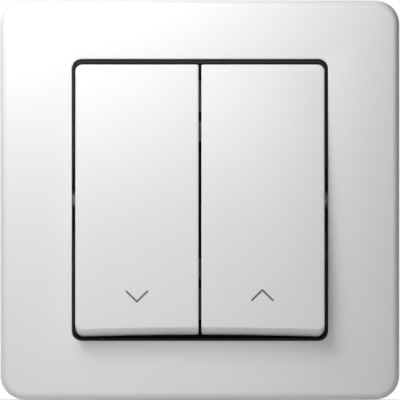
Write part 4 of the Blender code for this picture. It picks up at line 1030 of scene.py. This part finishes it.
class SWITCH_OT_stage(bpy.types.Operator):
    """Set up the floor, the light and the camera"""

    bl_idname = "switch.stage"
    bl_label = "Stage"

    def execute(self, context):
        """Make the floor, two lamps, the even sky and the camera."""
        settings, scene = setting("stage"), context.scene
        self.floor(settings)
        self.lamp("key", settings.key_place, settings.key_power, settings.lamp_size)
        self.lamp("front", settings.front_place, settings.front_power, settings.lamp_size)
        self.sky(settings, scene)
        self.camera(settings, scene)
        scene.view_settings.view_transform = "Standard"
        return {"FINISHED"}

    def floor(self, settings):
        """Wide disc just under the object."""
        shape = bmesh.new()
        level = Matrix.Translation((0, 0, CAD_BOX[0].z - settings.floor_gap))
        bmesh.ops.create_circle(shape, cap_ends=True, radius=settings.floor_radius,
                                segments=setting("model").floor_steps, matrix=level)
        floor = piece_from(shape, "floor", floor_material(settings))

    def lamp(self, name, place, power, size):
        """Soft square lamp turned towards the switch."""
        lamp = bpy.data.lights.new(name, "AREA")
        lamp.shape = "SQUARE"
        lamp.size = size
        lamp.energy = power
        holder = bpy.data.objects.new(name, lamp)
        holder.location = place
        holder.rotation_euler = (-holder.location).to_track_quat("-Z", "Y").to_euler()
        bpy.context.scene.collection.objects.link(holder)

    def sky(self, settings, scene):
        """Faint even light; the backdrop is plain white and the room in front of it dim."""
        world = bpy.data.worlds.new("studio")
        scene.world = world
        world.use_nodes = True
        tree = world.node_tree
        tree.nodes.clear()
        node(tree, "ShaderNodeOutputWorld", (800, 0))
        way = node(tree, "ShaderNodeTexCoord", (-600, 0))
        parts = node(tree, "ShaderNodeSeparateXYZ", (-400, 0))
        tree.links.new(way.outputs["Generated"], parts.inputs[0])
        room = node(tree, "ShaderNodeMapRange", (-200, 0))
        tree.links.new(parts.outputs["Y"], room.inputs["Value"])
        for socket, value in (("From Min", settings.room_end), ("From Max", settings.backdrop),
                              ("To Min", settings.room), ("To Max", 1.0)):
            room.inputs[socket].default_value = value
        path, direct = directly_seen(tree)
        white = calculated(tree, "MAXIMUM", (0, -100), room.outputs["Result"],
                           path.outputs["Is Camera Ray"])
        light = node(tree, "ShaderNodeBackground", (200, 100))
        seen = node(tree, "ShaderNodeBackground", (200, -100))
        for background in (light, seen):
            background.inputs["Color"].default_value = WHITE
        light.inputs["Strength"].default_value = settings.sky
        tree.links.new(white, seen.inputs["Strength"])
        mixed(tree, direct, light.outputs[0], seen.outputs[0])

    def camera(self, settings, scene):
        """Long lens, straight on, with the cover frame filling the picture."""
        lens = bpy.data.cameras.new("front")
        lens.lens = settings.lens
        camera = bpy.data.objects.new("front", lens)
        distance = settings.lens * settings.picture_width / lens.sensor_width
        camera.location = (0, FRAME_LOW.y - distance, 0)
        camera.rotation_euler = (QUARTER_TURN, 0, 0)
        lens.clip_start, lens.clip_end = distance / 100, distance * 10
        scene.collection.objects.link(camera)
        scene.camera = camera


OPERATORS = (SWITCH_OT_cover_frame, SWITCH_OT_trim_ring, SWITCH_OT_rockers, SWITCH_OT_signs,
             SWITCH_OT_mechanism, SWITCH_OT_stage)


class SWITCH_PT_pieces(bpy.types.Panel):
    """Lists the pieces and the stage, with their sizes and colours"""

    bl_label = "Roller shutter switch"
    bl_space_type = "VIEW_3D"
    bl_region_type = "UI"
    bl_category = "Switch"

    def draw(self, context):
        """Draw a button for each operator and a box of settings for each group."""
        layout = self.layout
        for operator in OPERATORS:
            layout.operator(operator.bl_idname)
        for name in GROUPS:
            panel = layout.box()
            group = getattr(context.scene, name)
            panel.label(text=name.removeprefix("switch_").capitalize())
            for prop in group.bl_rna.properties:
                if prop.identifier not in ("rna_type", "name"):
                    panel.prop(group, prop.identifier)


CLASSES = (*GROUPS.values(), *OPERATORS, SWITCH_PT_pieces)


def register():
    """Register the classes and hang the settings on the scene."""
    for entry in CLASSES:
        bpy.utils.register_class(entry)
    for name, group in GROUPS.items():
        setattr(bpy.types.Scene, name, PointerProperty(type=group))


def unregister():
    """Take the settings off the scene and unregister the classes."""
    for name in GROUPS:
        delattr(bpy.types.Scene, name)
    for entry in reversed(CLASSES):
        bpy.utils.unregister_class(entry)


def main():
    register()
    bpy.ops.switch.cover_frame()
    bpy.ops.switch.trim_ring()
    bpy.ops.switch.rockers()
    bpy.ops.switch.signs()
    bpy.ops.switch.mechanism()
    bpy.ops.switch.stage()


if __name__ == "__main__":
    main()
